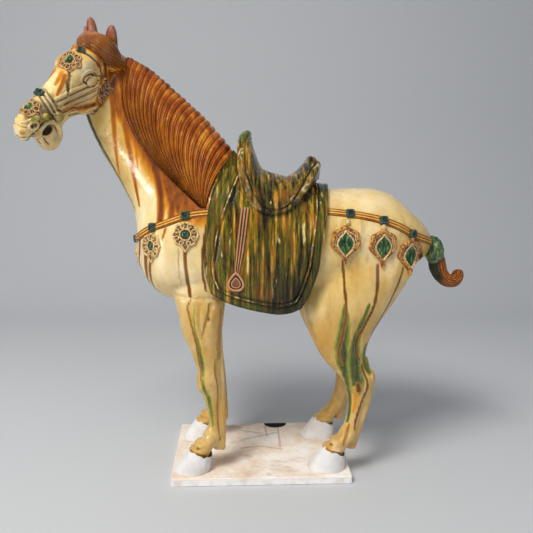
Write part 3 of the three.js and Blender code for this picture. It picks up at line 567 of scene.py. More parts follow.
UPPER_LID = [(71, 33, 9), (65, 36, 14), (54, 37, 12), (46, 35, 4), (39, 33, -8)]
LOWER_LID = [(71, 33, 9), (70, 35, 2), (63, 36, -5), (54, 36, -7), (45, 34, -7)]
BROW_GROOVE = [(79, 21, 33), (86, 25, 25), (95, 27, 16), (102, 26, 8)]
BROW_STRAP = [(34, 4, 37), (31, 13, 31), (27, 24, 18), (30, 31, 2), (36, 33, -9)]
STRAP_FRONT = [(41, 5, 36), (37, 14, 29), (33, 25, 18), (35, 31, 3), (41, 33, -8)]
STRAP_REAR = [(28, 14, 34), (21, 25, 18), (24, 32, 2), (31, 34, -11)]

HEAD_STROKES = in_head([
    # ridges of the cheek
    [[(121, 24, 15), (96, 30, 9), (66, 34, 1)], [4.0, 4.8, 3.8], 3.8],
    [[(122, 24, 6), (92, 30, -3), (52, 32, -12)], [4.0, 4.8, 3.6], 3.8],
    [[(123, 23, -4), (94, 28, -13), (60, 31, -21)], [4.0, 4.6, 3.6], 3.6],
    [[(121, 22, -14), (98, 25, -22), (76, 27, -31)], [3.4, 4.0, 2.8], 2.8],
    # eyelids round the ball of the eye
    [UPPER_LID, [1.8, 2.4, 2.4, 2.2, 1.4], -2.4],
    [LOWER_LID, [1.8, 2.2, 2.4, 2.2, 1.4], -2.2],
    [[(72, 31, 14), (64, 35, 20), (52, 36, 18), (42, 34, 8)], [2.6, 3, 3, 2], 1.3],
    # groove before the brow
    [BROW_GROOVE, [3.6, 4.4, 3.8, 2.6], -3.4],
    # strap behind the brow
    [BROW_STRAP, [4.6, 4.8, 4.8, 4.6, 4.2], 3.0],
    [STRAP_FRONT, [1.7, 1.8, 1.8, 1.8, 1.6], -1.8],
    # nose band
    [[(123, 0, 28), (126, 12, 24), (130, 21, 12), (134, 24, -4)], [3, 3, 3, 3], 3.0],
    [[(130, 0, 27), (133, 12, 23), (137, 20, 11), (140, 23, -4)], [3, 3, 3, 3], 3.0],
    # edge of the jaw
    [[(58, 25, -47), (76, 25, -46), (97, 24, -38), (118, 22, -26)], [2.6, 3.2, 3.0, 2.4], -1.5],
    # groove over the curled lip
    [[(137, 23, -5), (150, 21, -1), (163, 19, -2), (176, 16, -5)], [2, 2.4, 2.4, 1.8], -1.8],
    # rim of the nostril and its hole
    [ring_route((174, 19, 5), 7.0, 6.0), [3.2, 3.2], 3.0],
    [[(172, 19, 4), (177, 19, 6)], [4.4, 4.0], -4.0],
    # folds of the muzzle
    [[(181, 15, -6), (189, 11, -4), (194, 5, -3)], [2.2, 2.4, 2], -1.4],
    [[(184, 14, 8), (188, 9, 12), (188, 2, 14)], [2.2, 2.4, 2], -1.2],
    [[(168, 17, 13), (178, 13, 14), (184, 5, 17)], [3, 3, 2.4], 1.4],
])

figure = carved(field_of(FIGURE), BODY_STROKES + HEAD_STROKES)
torso = field_of(TORSO)


# Meshes

CORNERS = np.array([[i, j, k] for i in (0, 1) for j in (0, 1) for k in (0, 1)])
COARSE = 4
BLOCK_REACH = 1.2


def lattice_values(field, low, count, pitch, place):
    """Field on a lattice, worked out only near the surface."""
    count = (np.ceil((count - 1) / COARSE) * COARSE).astype(int) + 1
    wide = (count - 1) // COARSE + 1
    middles = np.stack(np.meshgrid(*[np.arange(n - 1) + 0.5 for n in wide], indexing="ij"), axis=-1)
    rough = field(place(low + middles.reshape(-1, 3) * COARSE * pitch)).reshape(wide - 1)
    block = np.abs(rough) < COARSE * pitch * BLOCK_REACH
    values = np.full(count, FAR)
    values[:-1, :-1, :-1] = FAR * np.sign(rough).repeat(COARSE, 0).repeat(COARSE, 1).repeat(COARSE, 2)
    active = np.zeros(count, bool)
    spread = block.repeat(COARSE, 0).repeat(COARSE, 1).repeat(COARSE, 2)
    for i, j, k in CORNERS:
        active[i:count[0] - 1 + i, j:count[1] - 1 + j, k:count[2] - 1 + k] |= spread
    at = np.argwhere(active)
    values[active] = field(place(low + at * pitch))
    return values, count


def surface_net(field, low, high, pitch, keep, place=lambda points: points):
    """Vertices and quads of a field's surface on a lattice, where keep(middles) is true."""
    low = np.floor(np.array(low, float) / pitch) * pitch
    count = np.ceil((np.array(high, float) - low) / pitch).astype(int) + 1
    d, count = lattice_values(field, low, count, pitch, place)
    inside = d < 0
    total = np.zeros(count - 1, np.uint8)
    for i, j, k in CORNERS:
        total += inside[i:count[0] - 1 + i, j:count[1] - 1 + j, k:count[2] - 1 + k]
    active = (total > 0) & (total < 8)
    cells = np.argwhere(active)
    number = np.full(total.shape, -1)
    number[active] = np.arange(len(cells))
    corner = np.stack([d[tuple((cells + c).T)] for c in CORNERS], axis=1)
    middle = np.zeros((len(cells), 3))
    crossings = np.zeros(len(cells))
    for a in range(8):
        for b in range(a + 1, 8):
            if np.abs(CORNERS[a] - CORNERS[b]).sum() != 1:
                continue
            va, vb = corner[:, a], corner[:, b]
            cut = (va < 0) != (vb < 0)
            t = va[cut] / (va[cut] - vb[cut])
            middle[cut] += CORNERS[a] + t[:, None] * (CORNERS[b] - CORNERS[a])
            crossings[cut] += 1
    points = place(low + pitch * (cells + middle / crossings[:, None]))
    quads = []
    for axis in range(3):
        first, second = [slice(None)] * 3, [slice(None)] * 3
        first[axis], second[axis] = slice(0, -1), slice(1, None)
        a, b = inside[tuple(first)], inside[tuple(second)]
        u, v = (axis + 1) % 3, (axis + 2) % 3
        at = np.argwhere(a != b)
        at = at[(at[:, u] > 0) & (at[:, v] > 0) & (at[:, u] < count[u] - 1) & (at[:, v] < count[v] - 1)]
        flip = a[tuple(at.T)]
        step_u, step_v = np.eye(3, dtype=int)[u], np.eye(3, dtype=int)[v]
        ring = [at - step_u - step_v, at - step_v, at, at - step_u]
        quad = np.stack([number[tuple(r.T)] for r in ring], axis=1)
        quad[~flip] = quad[~flip][:, ::-1]
        quads.append(quad)
    quads = np.concatenate(quads)
    quads = quads[(quads >= 0).all(axis=1)]
    points, quads, _ = trimmed(points, quads, keep(points[quads].mean(axis=1)), {})
    return settle(field, points, 1), quads


def edge_pairs(faces):
    return np.concatenate([faces[:, [k, (k + 1) % faces.shape[1]]] for k in range(faces.shape[1])])


HOLLOW_ROUNDS = 3  # rounds of smoothing
HOLLOW_GAIN = 4


# The materials darken the hollows with this mask, for pooled glaze and painted shade.
def hollows(points, faces):
    """Positive in hollows and negative on ridges, about 1 for a tight groove."""
    a, b, c = points[faces[:, 0]], points[faces[:, 1]], points[faces[:, 2]]
    normal = np.zeros_like(points)
    face_normal = np.cross(b - a, c - a)
    for axis in range(3):
        for k in range(faces.shape[1]):
            normal[:, axis] += np.bincount(faces[:, k], face_normal[:, axis], minlength=len(points))
    normal = unit(normal)
    pairs = edge_pairs(faces)
    count = np.maximum(np.bincount(pairs[:, 0], minlength=len(points)), 1)
    span = points[pairs[:, 1]] - points[pairs[:, 0]]
    length = np.maximum((span * span).sum(axis=1), 1e-6)
    bow = (span * normal[pairs[:, 0]]).sum(axis=1) / length
    value = np.bincount(pairs[:, 0], bow, minlength=len(points)) / count
    for _ in range(HOLLOW_ROUNDS):
        spread = np.bincount(pairs[:, 0], value[pairs[:, 1]], minlength=len(points)) / count
        value = 0.5 * value + 0.5 * spread
    return np.clip(value * HOLLOW_GAIN, -1, 1)


def new_piece(name, material, points, faces, masks, relief=1.0):
    """Piece in metres from points in millimetres above the soles, and quads or triangles."""
    faces = np.asarray(faces)
    mesh = bpy.data.meshes.new(name)
    mesh.vertices.add(len(points))
    mesh.vertices.foreach_set("co", ((points + [0, 0, LIFT]) / 1000).astype(np.float32).ravel())
    mesh.loops.add(faces.size)
    mesh.loops.foreach_set("vertex_index", faces.astype(np.int32).ravel())
    mesh.polygons.add(len(faces))
    mesh.polygons.foreach_set("loop_start", np.arange(0, faces.size, faces.shape[1], dtype=np.int32))
    mesh.update(calc_edges=True)
    mesh.polygons.foreach_set("use_smooth", np.ones(len(faces), bool))
    for key, values in {"hollow": relief * hollows(points, faces), **masks}.items():
        layer = mesh.attributes.new(key, "FLOAT", "POINT")
        layer.data.foreach_set("value", np.ravel(values).astype(np.float32))
    mesh.materials.append(material)
    piece = bpy.data.objects.new(name, mesh)
    bpy.context.scene.collection.objects.link(piece)
    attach(piece, "root")


def grid_faces(rows, columns, wrap=False):
    """Quads of a grid of points stored row by row. With wrap the last column joins the first."""
    span = columns if wrap else columns - 1
    r, c = np.meshgrid(np.arange(rows - 1), np.arange(span), indexing="ij")
    here, beside = r * columns + c, r * columns + (c + 1) % columns
    return np.stack([here, beside, beside + columns, here + columns], axis=-1).reshape(-1, 4)


def grid_normals(grid):
    return unit(np.cross(np.gradient(grid, axis=0), np.gradient(grid, axis=1)))


def rim_of(index):
    """Numbers of a grid's points round its edge."""
    return np.concatenate([index[0, :-1], index[:-1, -1], index[-1, :0:-1], index[:0:-1, 0]])


def triangles(quads):
    return np.concatenate([quads[:, [0, 1, 2]], quads[:, [0, 2, 3]]])


INNER_STEP = 6  # rows or columns of the outer side for one of the inner side


def shell(outer, inner, masks):
    """Closed sheet of triangles between an outer grid and an inner one, which is kept coarse.

    Gives points, faces and the masks, which are 0 on the inner side.
    """
    rows, columns = outer.shape[:2]
    index = np.arange(rows * columns).reshape(rows, columns)
    pick_rows = np.unique(np.linspace(0, rows - 1, rows // INNER_STEP + 2).astype(int))
    pick_columns = np.unique(np.linspace(0, columns - 1, columns // INNER_STEP + 2).astype(int))
    coarse = inner[np.ix_(pick_rows, pick_columns)]
    size = rows * columns
    coarse_index = np.arange(coarse[..., 0].size).reshape(coarse.shape[:2]) + size
    back = grid_faces(*coarse.shape[:2])[:, ::-1] + size
    fine_rim, coarse_rim = rim_of(index), rim_of(coarse_index)
    place = {number: k for k, number in enumerate(fine_rim)}
    at = [place[number] for number in rim_of(index[np.ix_(pick_rows, pick_columns)])]
    wall = []
    for k, start in enumerate(at):
        stop = at[(k + 1) % len(at)] or len(fine_rim)
        here, after = coarse_rim[k], coarse_rim[(k + 1) % len(at)]
        wall += [(fine_rim[(j + 1) % len(fine_rim)], fine_rim[j], here) for j in range(start, stop)]
        wall.append((fine_rim[stop % len(fine_rim)], here, after))
    points = np.concatenate([outer.reshape(-1, 3), coarse.reshape(-1, 3)])
    faces = np.concatenate([triangles(grid_faces(rows, columns)), triangles(back), np.array(wall)])
    padding = np.zeros(coarse[..., 0].size)
    masks = {key: np.concatenate([np.ravel(values), padding]) for key, values in masks.items()}
    return points, faces, masks


def joined(parts):
    """One list of points, faces and masks from several of them. A mask that a part lacks is 0 on it."""
    starts = np.cumsum([0] + [len(points) for points, _, _ in parts])
    faces = [faces + start for (_, faces, _), start in zip(parts, starts)]
    keys = sorted({key for _, _, masks in parts for key in masks})
    masks = {key: np.concatenate([m.get(key, np.zeros(len(p))) for p, _, m in parts]) for key in keys}
    return np.concatenate([points for points, _, _ in parts]), np.concatenate(faces), masks


def trimmed(points, faces, keep, masks):
    """Only the faces that are kept, and the points that they use."""
    faces = faces[keep]
    used = np.unique(faces)
    renumber = np.full(len(points), -1)
    renumber[used] = np.arange(len(used))
    return points[used], renumber[faces], {key: values[used] for key, values in masks.items()}


def swept(route, radii, across):
    """Round sweep along a route, with a row of radii round each of its points.

    across is a direction that the section keeps.
    """
    tangent = unit(np.gradient(route, axis=0))
    side = unit(np.cross(tangent, np.broadcast_to(across, tangent.shape)))
    up = np.cross(side, tangent)
    angle = np.linspace(0, 2 * np.pi, radii.shape[1], endpoint=False)
    ring = (
        route[:, None] + side[:, None] * (np.cos(angle) * radii)[..., None]
        + up[:, None] * (np.sin(angle) * radii)[..., None]
    )
    return ring.reshape(-1, 3), grid_faces(*radii.shape, True)


# Glaze that ran: routes on the left side, widths along them, and how strong the colour stands

AMBER_RUNS = [
    # wash from the crest and below the mane
    [[(-220, -18, 604), (-200, -30, 575), (-170, -33, 545), (-140, -40, 510), (-110, -48, 475),
      (-80, -55, 445)], [13, 15, 18, 22, 26, 28], 0.86],
    [[(-215, -22, 590), (-209, -30, 555), (-199, -33, 520), (-180, -36, 492), (-157, -41, 462),
      (-130, -50, 432), (-108, -57, 402), (-92, -62, 384)], [7, 8, 9, 12, 19, 27, 32, 27], 0.86],
    [[(-210, -31, 552), (-208, -33, 505), (-208, -27, 455), (-206, -18, 430)], [5, 4, 3.4, 1.6], 0.8],
    [[(-194, -34, 515), (-189, -35, 478), (-184, -36, 443), (-180, -34, 409), (-178, -34, 386)],
     [7, 5.5, 4.4, 3.4, 2], 0.85],
    [[(-183, -37, 495), (-177, -38, 464), (-176, -38, 440)], [5, 3.6, 1.6], 0.7],
    [[(-160, -41, 470), (-148, -47, 432), (-142, -54, 396), (-143, -59, 366)], [9, 8, 6.5, 5.5], 1.0],
    [[(-134, -50, 420), (-126, -58, 387), (-127, -61, 366)], [9, 7, 5], 0.95],
    [[(-122, -56, 400), (-117, -62, 378)], [8, 4], 0.9],
    # root of the tail
    [[(246, -14, 352), (250, -14, 338), (250, -14, 318)], [6, 8, 8], 0.9],
    [[(206, -58, 350), (216, -55, 336), (228, -46, 318), (236, -36, 304)], [3, 5, 7, 5], 0.92],
    # hock
    [[(131, -68, 126), (133, -66, 112), (130, -63, 88)], [3.4, 5, 3], 0.45],
]
DRIP_RUNS = [
    # below the medallions and along the blanket's front edge
    [[(-107, -68, 330), (-106, -66, 298), (-102, -72, 262)], [2.4, 2.6, 2.6], 0.8],
    [[(-102, -74, 262), (-104, -75, 246), (-101, -75, 228), (-97, -74, 206), (-93, -72, 186),
      (-92, -70, 165), (-90, -68, 140)], [1.6, 1.6, 1.8, 2.0, 2.2, 2.0, 1.8], 0.6],
    [[(-116, -67, 328), (-116, -66, 306), (-114, -68, 280)], [2.6, 2.2, 1.6], 0.34],
    [[(-132, -62, 352), (-134, -60, 338)], [3, 2], 0.5],
    [[(-142, -60, 340), (-145, -57, 322)], [2.2, 1.4], 0.42],
    [[(-76, -70, 366), (-82, -71, 333), (-84, -68, 298), (-80, -70, 268)], [1.8, 2.0, 1.9, 1.4], 0.85],
    [[(-154, -54, 318), (-155, -46, 292), (-151, -36, 268)], [3.4, 3.0, 2.2], 0.75],
    [[(-163, -48, 330), (-163, -44, 304), (-157, -32, 272)], [4.0, 3.6, 2.2], 0.7],
    [[(-172, -38, 340), (-171, -32, 312), (-163, -20, 278)], [3.6, 3.0, 2.2], 0.75],
    # below the pendants
    [[(109, -80, 311), (111, -80, 278), (114, -80, 243), (110, -78, 205), (106, -74, 176), (112, -70, 160)],
     [1.8, 2.0, 2.0, 2.2, 2.4, 1.6], 0.85],
    [[(158, -76, 305), (157, -77, 277), (153, -76, 249), (142, -76, 222), (132, -72, 200), (130, -70, 184),
      (137, -67, 166)], [2.0, 2.4, 2.2, 2.2, 2.4, 2.2, 1.8], 0.95],
    [[(198, -66, 300), (188, -68, 272), (176, -66, 243), (160, -60, 212), (150, -58, 190)],
     [2.0, 2.0, 2.0, 1.8, 1.6], 0.8],
    # hock and rear of the cannon
    [[(136, -68, 132), (137, -68, 122)], [3.2, 4.0], 0.95],
    [[(141, -66, 160), (146, -66, 142), (148, -64, 130), (140, -60, 98), (131, -60, 60)],
     [1.8, 2.0, 2.0, 2.0, 1.6], 0.85],
    [[(122, -66, 70), (120, -66, 52), (116, -67, 40)], [3, 4, 3], 0.45],
    [[(62, -66, 218), (72, -66, 196)], [9, 7], 0.26],
    [[(92, -72, 226), (98, -74, 252)], [9, 14], 0.2],
    # lines behind the knee and between cannon and tendon, wash behind the forearm
    [[(-69, -69, 172), (-68, -69, 150), (-67, -64, 128), (-65, -64, 90), (-62, -62, 46)],
     [1.9, 2.0, 1.9, 1.9, 1.8], 0.45],
    [[(-54, -64, 240), (-56, -66, 205), (-58, -66, 172)], [5, 8, 6], 0.34],
    [[(-73, -72, 250), (-79, -74, 230), (-87, -74, 202)], [2.2, 2.4, 2.0], 0.42],
    # dark rims above the hooves
    [[(-108, -62, 34), (-96, -72, 29), (-82, -69, 24)], [2.2, 2.4, 2.2], 0.5],
    [[(90, -62, 34), (102, -72, 29), (116, -69, 24)], [2.2, 2.4, 2.2], 0.5],
    # dark pool under the root of the tail
    [[(222, -50, 324), (230, -45, 314), (237, -34, 306)], [5, 7, 5], 0.8],
]
GREEN_RUNS = [
    [[(-252, -20, 520), (-240, -18, 483), (-226, -16, 453), (-208, -16, 409), (-192, -22, 378)],
     [3.4, 4.4, 4.0, 3.2, 1.6], 0.9],
    [[(-100, -75, 244), (-98, -75, 228), (-94, -74, 206), (-90, -72, 186)], [1.7, 2.0, 2.6, 3.2], 0.6],
    [[(-93, -72, 192), (-89, -70, 170), (-88, -68, 150), (-86, -68, 134), (-80, -66, 116), (-76, -63, 92),
      (-74, -63, 70)], [2.6, 4.6, 4.2, 3.4, 4.0, 3.6, 2.0], 0.66],
    [[(112, -82, 250), (112, -82, 215), (110, -79, 190), (111, -74, 168), (116, -70, 148)],
     [2.5, 7.5, 9.5, 9.5, 6], 0.85],
    [[(114, -70, 150), (119, -64, 126), (119, -62, 100), (116, -64, 74)], [5.0, 4.6, 4.2, 2.8], 0.82],
    [[(146, -79, 250), (135, -76, 216), (129, -72, 190), (131, -70, 160), (134, -69, 140), (133, -69, 116)],
     [2.0, 4.4, 7.4, 10.5, 11.5, 6], 0.82],
    [[(144, -62, 190), (146, -62, 170), (154, -62, 148)], [4.5, 6.5, 5], 0.7],
]


BODY_FINENESS = 6  # steps of a route to each of its given places, and rounds of settling
FACE_FINENESS = 5
RUN_SPREAD = 1.5


def laid_on_figure(runs, place, fineness, size=1.0):
    """Routes of both sides, settled on the surface, with a width for each of their points."""
    paths = []
    for side in (1, -1):
        for route, widths, strength in runs:
            count = fineness * len(route)
            path = bend(place([(x, side * y, z) for x, y, z in route]), count)
            paths.append((settle(figure, path, fineness), evenly(widths, count) * size, strength))
    return paths


def run_mask(points, paths):
    """Strength of the coloured glaze, full on its runs."""
    value = np.zeros(len(points))
    for path, widths, strength in paths:
        value = np.maximum(value, strength * ramp(0.0, 0.8, stroke(points, path, widths * RUN_SPREAD)))
    return value


FACE_AMBER_RUNS = [
    [BROW_STRAP, [5, 5.2, 5.2, 5, 4.6], 0.78],
    # streaks beside the bridge of the nose
    [[(88, 13, 40), (97, 13, 33), (104, 12, 28)], [5, 4.5, 3], 0.6],
    [[(86, 18, 33), (98, 21, 25), (115, 20, 16)], [4, 3.6, 2.5], 0.75],
    # below the last ridge of the cheek
    [[(122, 22, -14), (104, 25, -21), (88, 27, -28), (74, 28, -35)], [3, 4.6, 5.2, 4], 1.0],
    # behind the jaw
    [[(34, 32, -8), (47, 29, -26), (62, 25, -43)], [9, 10, 8], 0.88],
    [[(20, 33, -12), (26, 31, -30), (40, 26, -44)], [9, 10, 7], 0.95],
]
# Painted shade along the grooves and edges of the face, under the jaw and under the lips.
FACE_SHADE_RUNS = [
    [STRAP_FRONT, [1.5, 1.7, 1.7, 1.6, 1.4], 0.85],
    [STRAP_REAR, [1.5, 1.8, 1.8, 1.6], 0.8],
    [UPPER_LID, [1.0, 1.5, 1.4, 1.3, 0.9], 0.8],
    [LOWER_LID, [1.0, 1.6, 1.7, 1.2, 0.8], 0.8],
    [BROW_GROOVE, [2.2, 2.8, 2.4, 1.6], 0.7],
    # under the jaw
    [[(60, 27, -44), (74, 25, -48), (88, 18, -49), (104, 18, -35), (116, 18, -25)], [1.4] * 5, 0.65],
    # edges of the nose band
    [[(119, 2, 30), (122, 12, 25), (126, 21, 12), (130, 24, -3)], [1.1, 1.2, 1.2, 1.2], 0.7],
    [[(134, 2, 27), (137, 12, 22), (141, 20, 10), (143, 23, -4)], [1.3, 1.5, 1.5, 1.5], 0.75],
    [[(137, 23, -5), (150, 21, -1), (163, 19, -2), (176, 16, -5)], [1.2, 1.4, 1.4, 1.2], 0.6],
    # underside of the lips
    [[(196, 3, -10), (193, 7, -12), (187, 9, -13)], [3.4, 3.4, 2], 1.0],
    [[(160, 8, -54), (170, 4, -57), (176, 4, -50)], [1.6, 2, 1.4], 0.8],
]

AMBER_LAID = laid_on_figure(AMBER_RUNS, np.array, BODY_FINENESS)
DRIP_LAID = laid_on_figure(DRIP_RUNS, np.array, BODY_FINENESS)
GREEN_LAID = laid_on_figure(GREEN_RUNS, np.array, BODY_FINENESS)
FACE_AMBER_LAID = laid_on_figure(FACE_AMBER_RUNS, from_head, FACE_FINENESS, HEAD_SIZE)
FACE_SHADE_LAID = laid_on_figure(FACE_SHADE_RUNS, from_head, FACE_FINENESS, HEAD_SIZE)


# Colour of the face, in the head's frame: centre, radii and strength of soft patches

FACE_AMBER = [
    [[62, 10, 37], [25, 17, 6], 0.5], [[190, 8, 4], [6, 7, 5], 0.62], [[86, 12, 34], [8, 9, 6], 0.5],
    [[100, 26, -30], [22, 8, 5], 0.35],
]
FACE_OLIVE = [
    [[150, 16, 4], [20, 17, 14], 1.0], [[131, 24, -12], [10, 9, 10], 0.95],
    [[166, 15, 15], [14, 11, 8], 0.85], [[140, 18, 22], [12, 12, 10], 0.6],
    [[141, 20, 12], [13, 11, 11], 1.0],
    [[178, 12, -10], [9, 8, 6], 0.5], [[147, 22, -11], [10, 9, 7], 0.45],
    [[104, 27, -10], [30, 12, 18], 0.62], [[92, 24, 14], [6, 9, 11], 0.4],
    [[128, 18, 18], [9, 14, 12], 0.65], [[184, 12, -8], [8, 8, 4], 0.75],
    [[150, 12, -42], [16, 10, 10], 0.35],
]
# Paler glaze on the face, with painted light on the brow over the eye.
FACE_PALE_AND_LIT = [
    [[57, 26, 19], [19, 13, 14], 1.0], [[61, 3, 47], [15, 14, 9], 0.9], [[171, 8, -39], [12, 12, 10], 1.0],
    [[195, 0, 4], [8, 10, 8], 0.8], [[174, 16, 4], [7, 8, 6], 0.7], [[100, 4, 30], [16, 7, 8], 0.8],
    [[64, 31, 4], [12, 6, 9], 0.6], [[66, 22, -38], [16, 10, 8], 0.6],
]
FACE_GREEN = [
    [[152, 20, 2], [8, 6, 6], 0.5], [[134, 24, -14], [7, 5, 7], 0.5], [[167, 17, 13], [7, 6, 4], 0.45],
]
# Painted shade in the nostril and under the upper lip.
FACE_SHADE = [[[176, 19, 6], [4, 4, 3.4], 0.9], [[193, 7, -13], [9, 9, 7], 1.0]]


def patches(q, spots):
    """Soft patches on both sides of the head."""
    mirrored = one_side(q)
    value = np.zeros(len(q))
    for centre, radii, strength in spots:
        reach = np.sqrt((((mirrored - centre) / radii) ** 2).sum(axis=1))
        value = np.maximum(value, strength * ramp(1.35, 0.55, reach))
    return value


HEAD_MIDDLE, HEAD_HALF = [90, 0, -5], [115, 45, 52]  # box round the head, in its own frame


def coat_masks(points):
    """Where each glaze of the coat stands, and how strong, with the painted shade and light."""
    q = to_head(points)
    x, z = points[:, 0], points[:, 2]
    beyond = np.linalg.norm(np.maximum(0, np.abs(q - HEAD_MIDDLE) - HEAD_HALF), axis=1)
    on_head = ramp(30, 10, beyond)
    on_body = on_head <= 0.5
    # Painted shade inside the mouth.
    mouth = ramp(1.2, 0.0, egg(one_side(q), *MOUTH)) * ramp(19, 15, np.abs(q[:, 1]))
    # Paler glaze with painted light on the upper chest and on the top of the rump.
    chest = 0.8 * ramp(250, 315, z) * ramp(430, 380, z) * ramp(10, -60, x)
    rump = 0.6 * ramp(365, 392, z) * ramp(60, 100, x)
    # Honey tint on the legs, and painted shade in the same colour on the upper neck.
    legs = np.maximum(ramp(90, 45, z), 0.85 * ramp(330, 200, z))
    neck_shade = 0.75 * ramp(400, 450, z) * ramp(-100, -140, x)
    strongest = np.maximum.reduce
    face_shade = np.maximum(patches(q, FACE_SHADE), mouth) * on_head
    return {
        "drip": run_mask(points, DRIP_LAID),
        "pale": strongest([on_body * chest, on_body * rump, patches(q, FACE_PALE_AND_LIT) * on_head]),
        "amber": strongest([run_mask(points, AMBER_LAID), patches(q, FACE_AMBER) * on_head,
                            run_mask(points, FACE_AMBER_LAID)]),
        "green": np.maximum(run_mask(points, GREEN_LAID), patches(q, FACE_GREEN) * on_head),
        "olive": patches(q, FACE_OLIVE) * on_head,
        "dark": np.maximum(face_shade, run_mask(points, FACE_SHADE_LAID)),
        "honey": np.maximum(legs, on_body * neck_shade),
    }


# Coat

BODY_PITCH = 2.5
HEAD_PITCH = 1.1
NECK_SPLIT = 68.0  # ring of the neck where the head's finer mesh starts
BODY_SPLIT = 6.6
BODY_LOW, BODY_HIGH = [-345, -98, 14], [262, 98, 650]
FRONT_SPARE, REAR_SPARE = 20, 22
HEAD_LOW, HEAD_HIGH = [-60, -62, -150], [204, 62, 52]  # in the head's frame
# BODY_RELIEF is the share of the hollow mask, and so of its pooled glaze and painted shade, on the body.
BODY_RELIEF = 0.55


def behind_head(points):
    ring = ring_number(points[:, 0], points[:, 2])
    return (ring < NECK_SPLIT) | (points[:, 2] < 400) | (points[:, 0] > -150)


def in_front(points):
    return (points[:, 0] <= BODY_SPLIT) & behind_head(points)


def coat(material):
    """The coat in three meshes that meet on shared lines, the head's being the finest."""
    pieces = [
        ("coat_front", BODY_LOW, [BODY_SPLIT + FRONT_SPARE, *BODY_HIGH[1:]], BODY_PITCH, in_front),
        ("coat_rear", [BODY_SPLIT - REAR_SPARE, *BODY_LOW[1:]], BODY_HIGH, BODY_PITCH,
         lambda p: p[:, 0] > BODY_SPLIT),
    ]
    for name, low, high, pitch, keep in pieces:
        points, faces = surface_net(figure, low, high, pitch, keep)
        new_piece(name, material, points, faces, coat_masks(points), BODY_RELIEF)
    on_head = lambda p: ~behind_head(p)
    points, faces = surface_net(figure, HEAD_LOW, HEAD_HIGH, HEAD_PITCH, on_head, from_head)
    new_piece("head", material, points, faces, coat_masks(points))


# Hair over the poll, the lock behind the left ear and the ears

LOCK = [(14, 20, 27), (8, 32, 12), (0, 36, -7), (-9, 32, -28)]
LOCK_STEPS = 10
LOCK_ROUTE = bend(LOCK, LOCK_STEPS)
LOCK_RADII = evenly([11, 10, 8, 1.8], LOCK_STEPS)
CAP = [[4, 0, 6], [22, 40, 35], 2.8]  # hair over the poll
BUN = [[19, 1, 34], [13, 17, 12]]
STRAND_PITCH = 5.4
HAIR_LOW, HAIR_HIGH = [-262, -62, 560], [-180, 16, 640]
HAIR_MESH_LOW, HAIR_MESH_HIGH = [-275, -70, 545], [-180, 25, 662]
HAIR_PITCH = 0.95
EARS = [[(-236, -13, 600), (-243, -7, 650)], [(-211, -25, 584), (-207, -32, 632)]]
EAR_HALF = 11.5
EAR_LENGTH = 48
EAR_STATIONS = table([
    [-0.2, 1.0, 1.1], [0.1, 1.0, 1.0], [0.35, 1.0, 0.9], [0.6, 0.88, 0.85], [0.85, 0.66, 0.66],
    [1, 0.36, 0.4]])


def below_hair(a, u):
    """How far a place of the head is below the line from the strap to the tip of the lock."""
    return 2 - (30 - a) * 0.83 - u


def hair_field(points):
    q = to_head(points)
    a, l, u = q.T
    d = smooth_min(egg(q, *CAP), egg(q, *BUN), 6)
    d = smooth_min(d, rod(q, LOCK_ROUTE, LOCK_RADII), 6)
    d = smooth_max(d, below_hair(a, u) * 0.77, 5)
    strand = np.abs(np.sin(np.pi * (a + 0.55 * np.maximum(18 - u, 0) * ramp(26, 10, u)) / STRAND_PITCH))
    swirl = np.sin(0.5 * a - 0.3 * l) * ramp(22, 6, np.abs(l))
    own = 0.55 + 0.45 * np.sin(0.23 * a + 0.31 * u + 0.2 * l)
    return d * HEAD_SIZE - 1.15 * own * (strand - 0.55) * ramp(8, 20, np.abs(l)) - 0.5 * swirl


def ear_field(points, base, tip, side):
    """Leaf-shaped ear with its hollow toward the front."""
    base, tip = np.array(base, float), np.array(tip, float)
    axis = tip - base
    up = unit(axis)
    ahead = unit(HEAD_AXES[0] - (HEAD_AXES[0] @ up) * up)
    across = np.cross(up, ahead)
    q = points - base
    t = (q @ axis) / (axis @ axis)
    wide, thick = [EAR_HALF * value for value in look(EAR_STATIONS, t)]
    u, v = q @ across, q @ ahead
    outer = section(u, v, wide, thick * 0.8)
    inner = section(u - side * 1.5, v - thick * 0.7, wide * 0.5, thick * 0.5)
    inner = np.maximum(inner, (0.2 - t) * 40)
    lobe_place = np.stack([u - side * 3, v - EAR_HALF * 0.75, (t - 0.45) * EAR_LENGTH], axis=1)
    lobe = egg(lobe_place, [0, 0, 0], [4.2, 3.4, 13])
    d = smooth_min(smooth_max(outer, -inner, 1.5), lobe, 1.2)
    d = smooth_max(d, (t - 1.0) * EAR_LENGTH, 5)
    return np.maximum(d, (-0.25 - t) * 40)


def hair(material):
    parts = [(HAIR_LOW, HAIR_HIGH, hair_field, 1)]
    for (base, tip), side in zip(EARS, (RIGHT, LEFT)):
        box_low = np.minimum(base, tip) - 12
        box_high = np.maximum(base, tip) + 12
        parts.append((box_low, box_high, functools.partial(ear_field, base=base, tip=tip, side=side), 5))
    everywhere = lambda p: np.ones(len(p), bool)
    points, faces = surface_net(field_of(parts), HAIR_MESH_LOW, HAIR_MESH_HIGH, HAIR_PITCH, everywhere)
    a, l, u = to_head(points).T
    bun = ramp(26, 8, l) * ramp(18, 30, u)
    ear = ramp(610, 622, points[:, 2])
    # Painted shade with darker glaze on the hair, rising from nothing near the line where it ends, and low
    # on the lock.
    shade = ramp(-2, -10, below_hair(a, u)) + ramp(-16, -26, u)
    new_piece("hair", material, points, faces, {
        "speckled": np.clip(bun + ear, 0, 1), "tip": ear, "dusk": np.clip(shade, 0, 1) * (1 - ear)})


# Mane

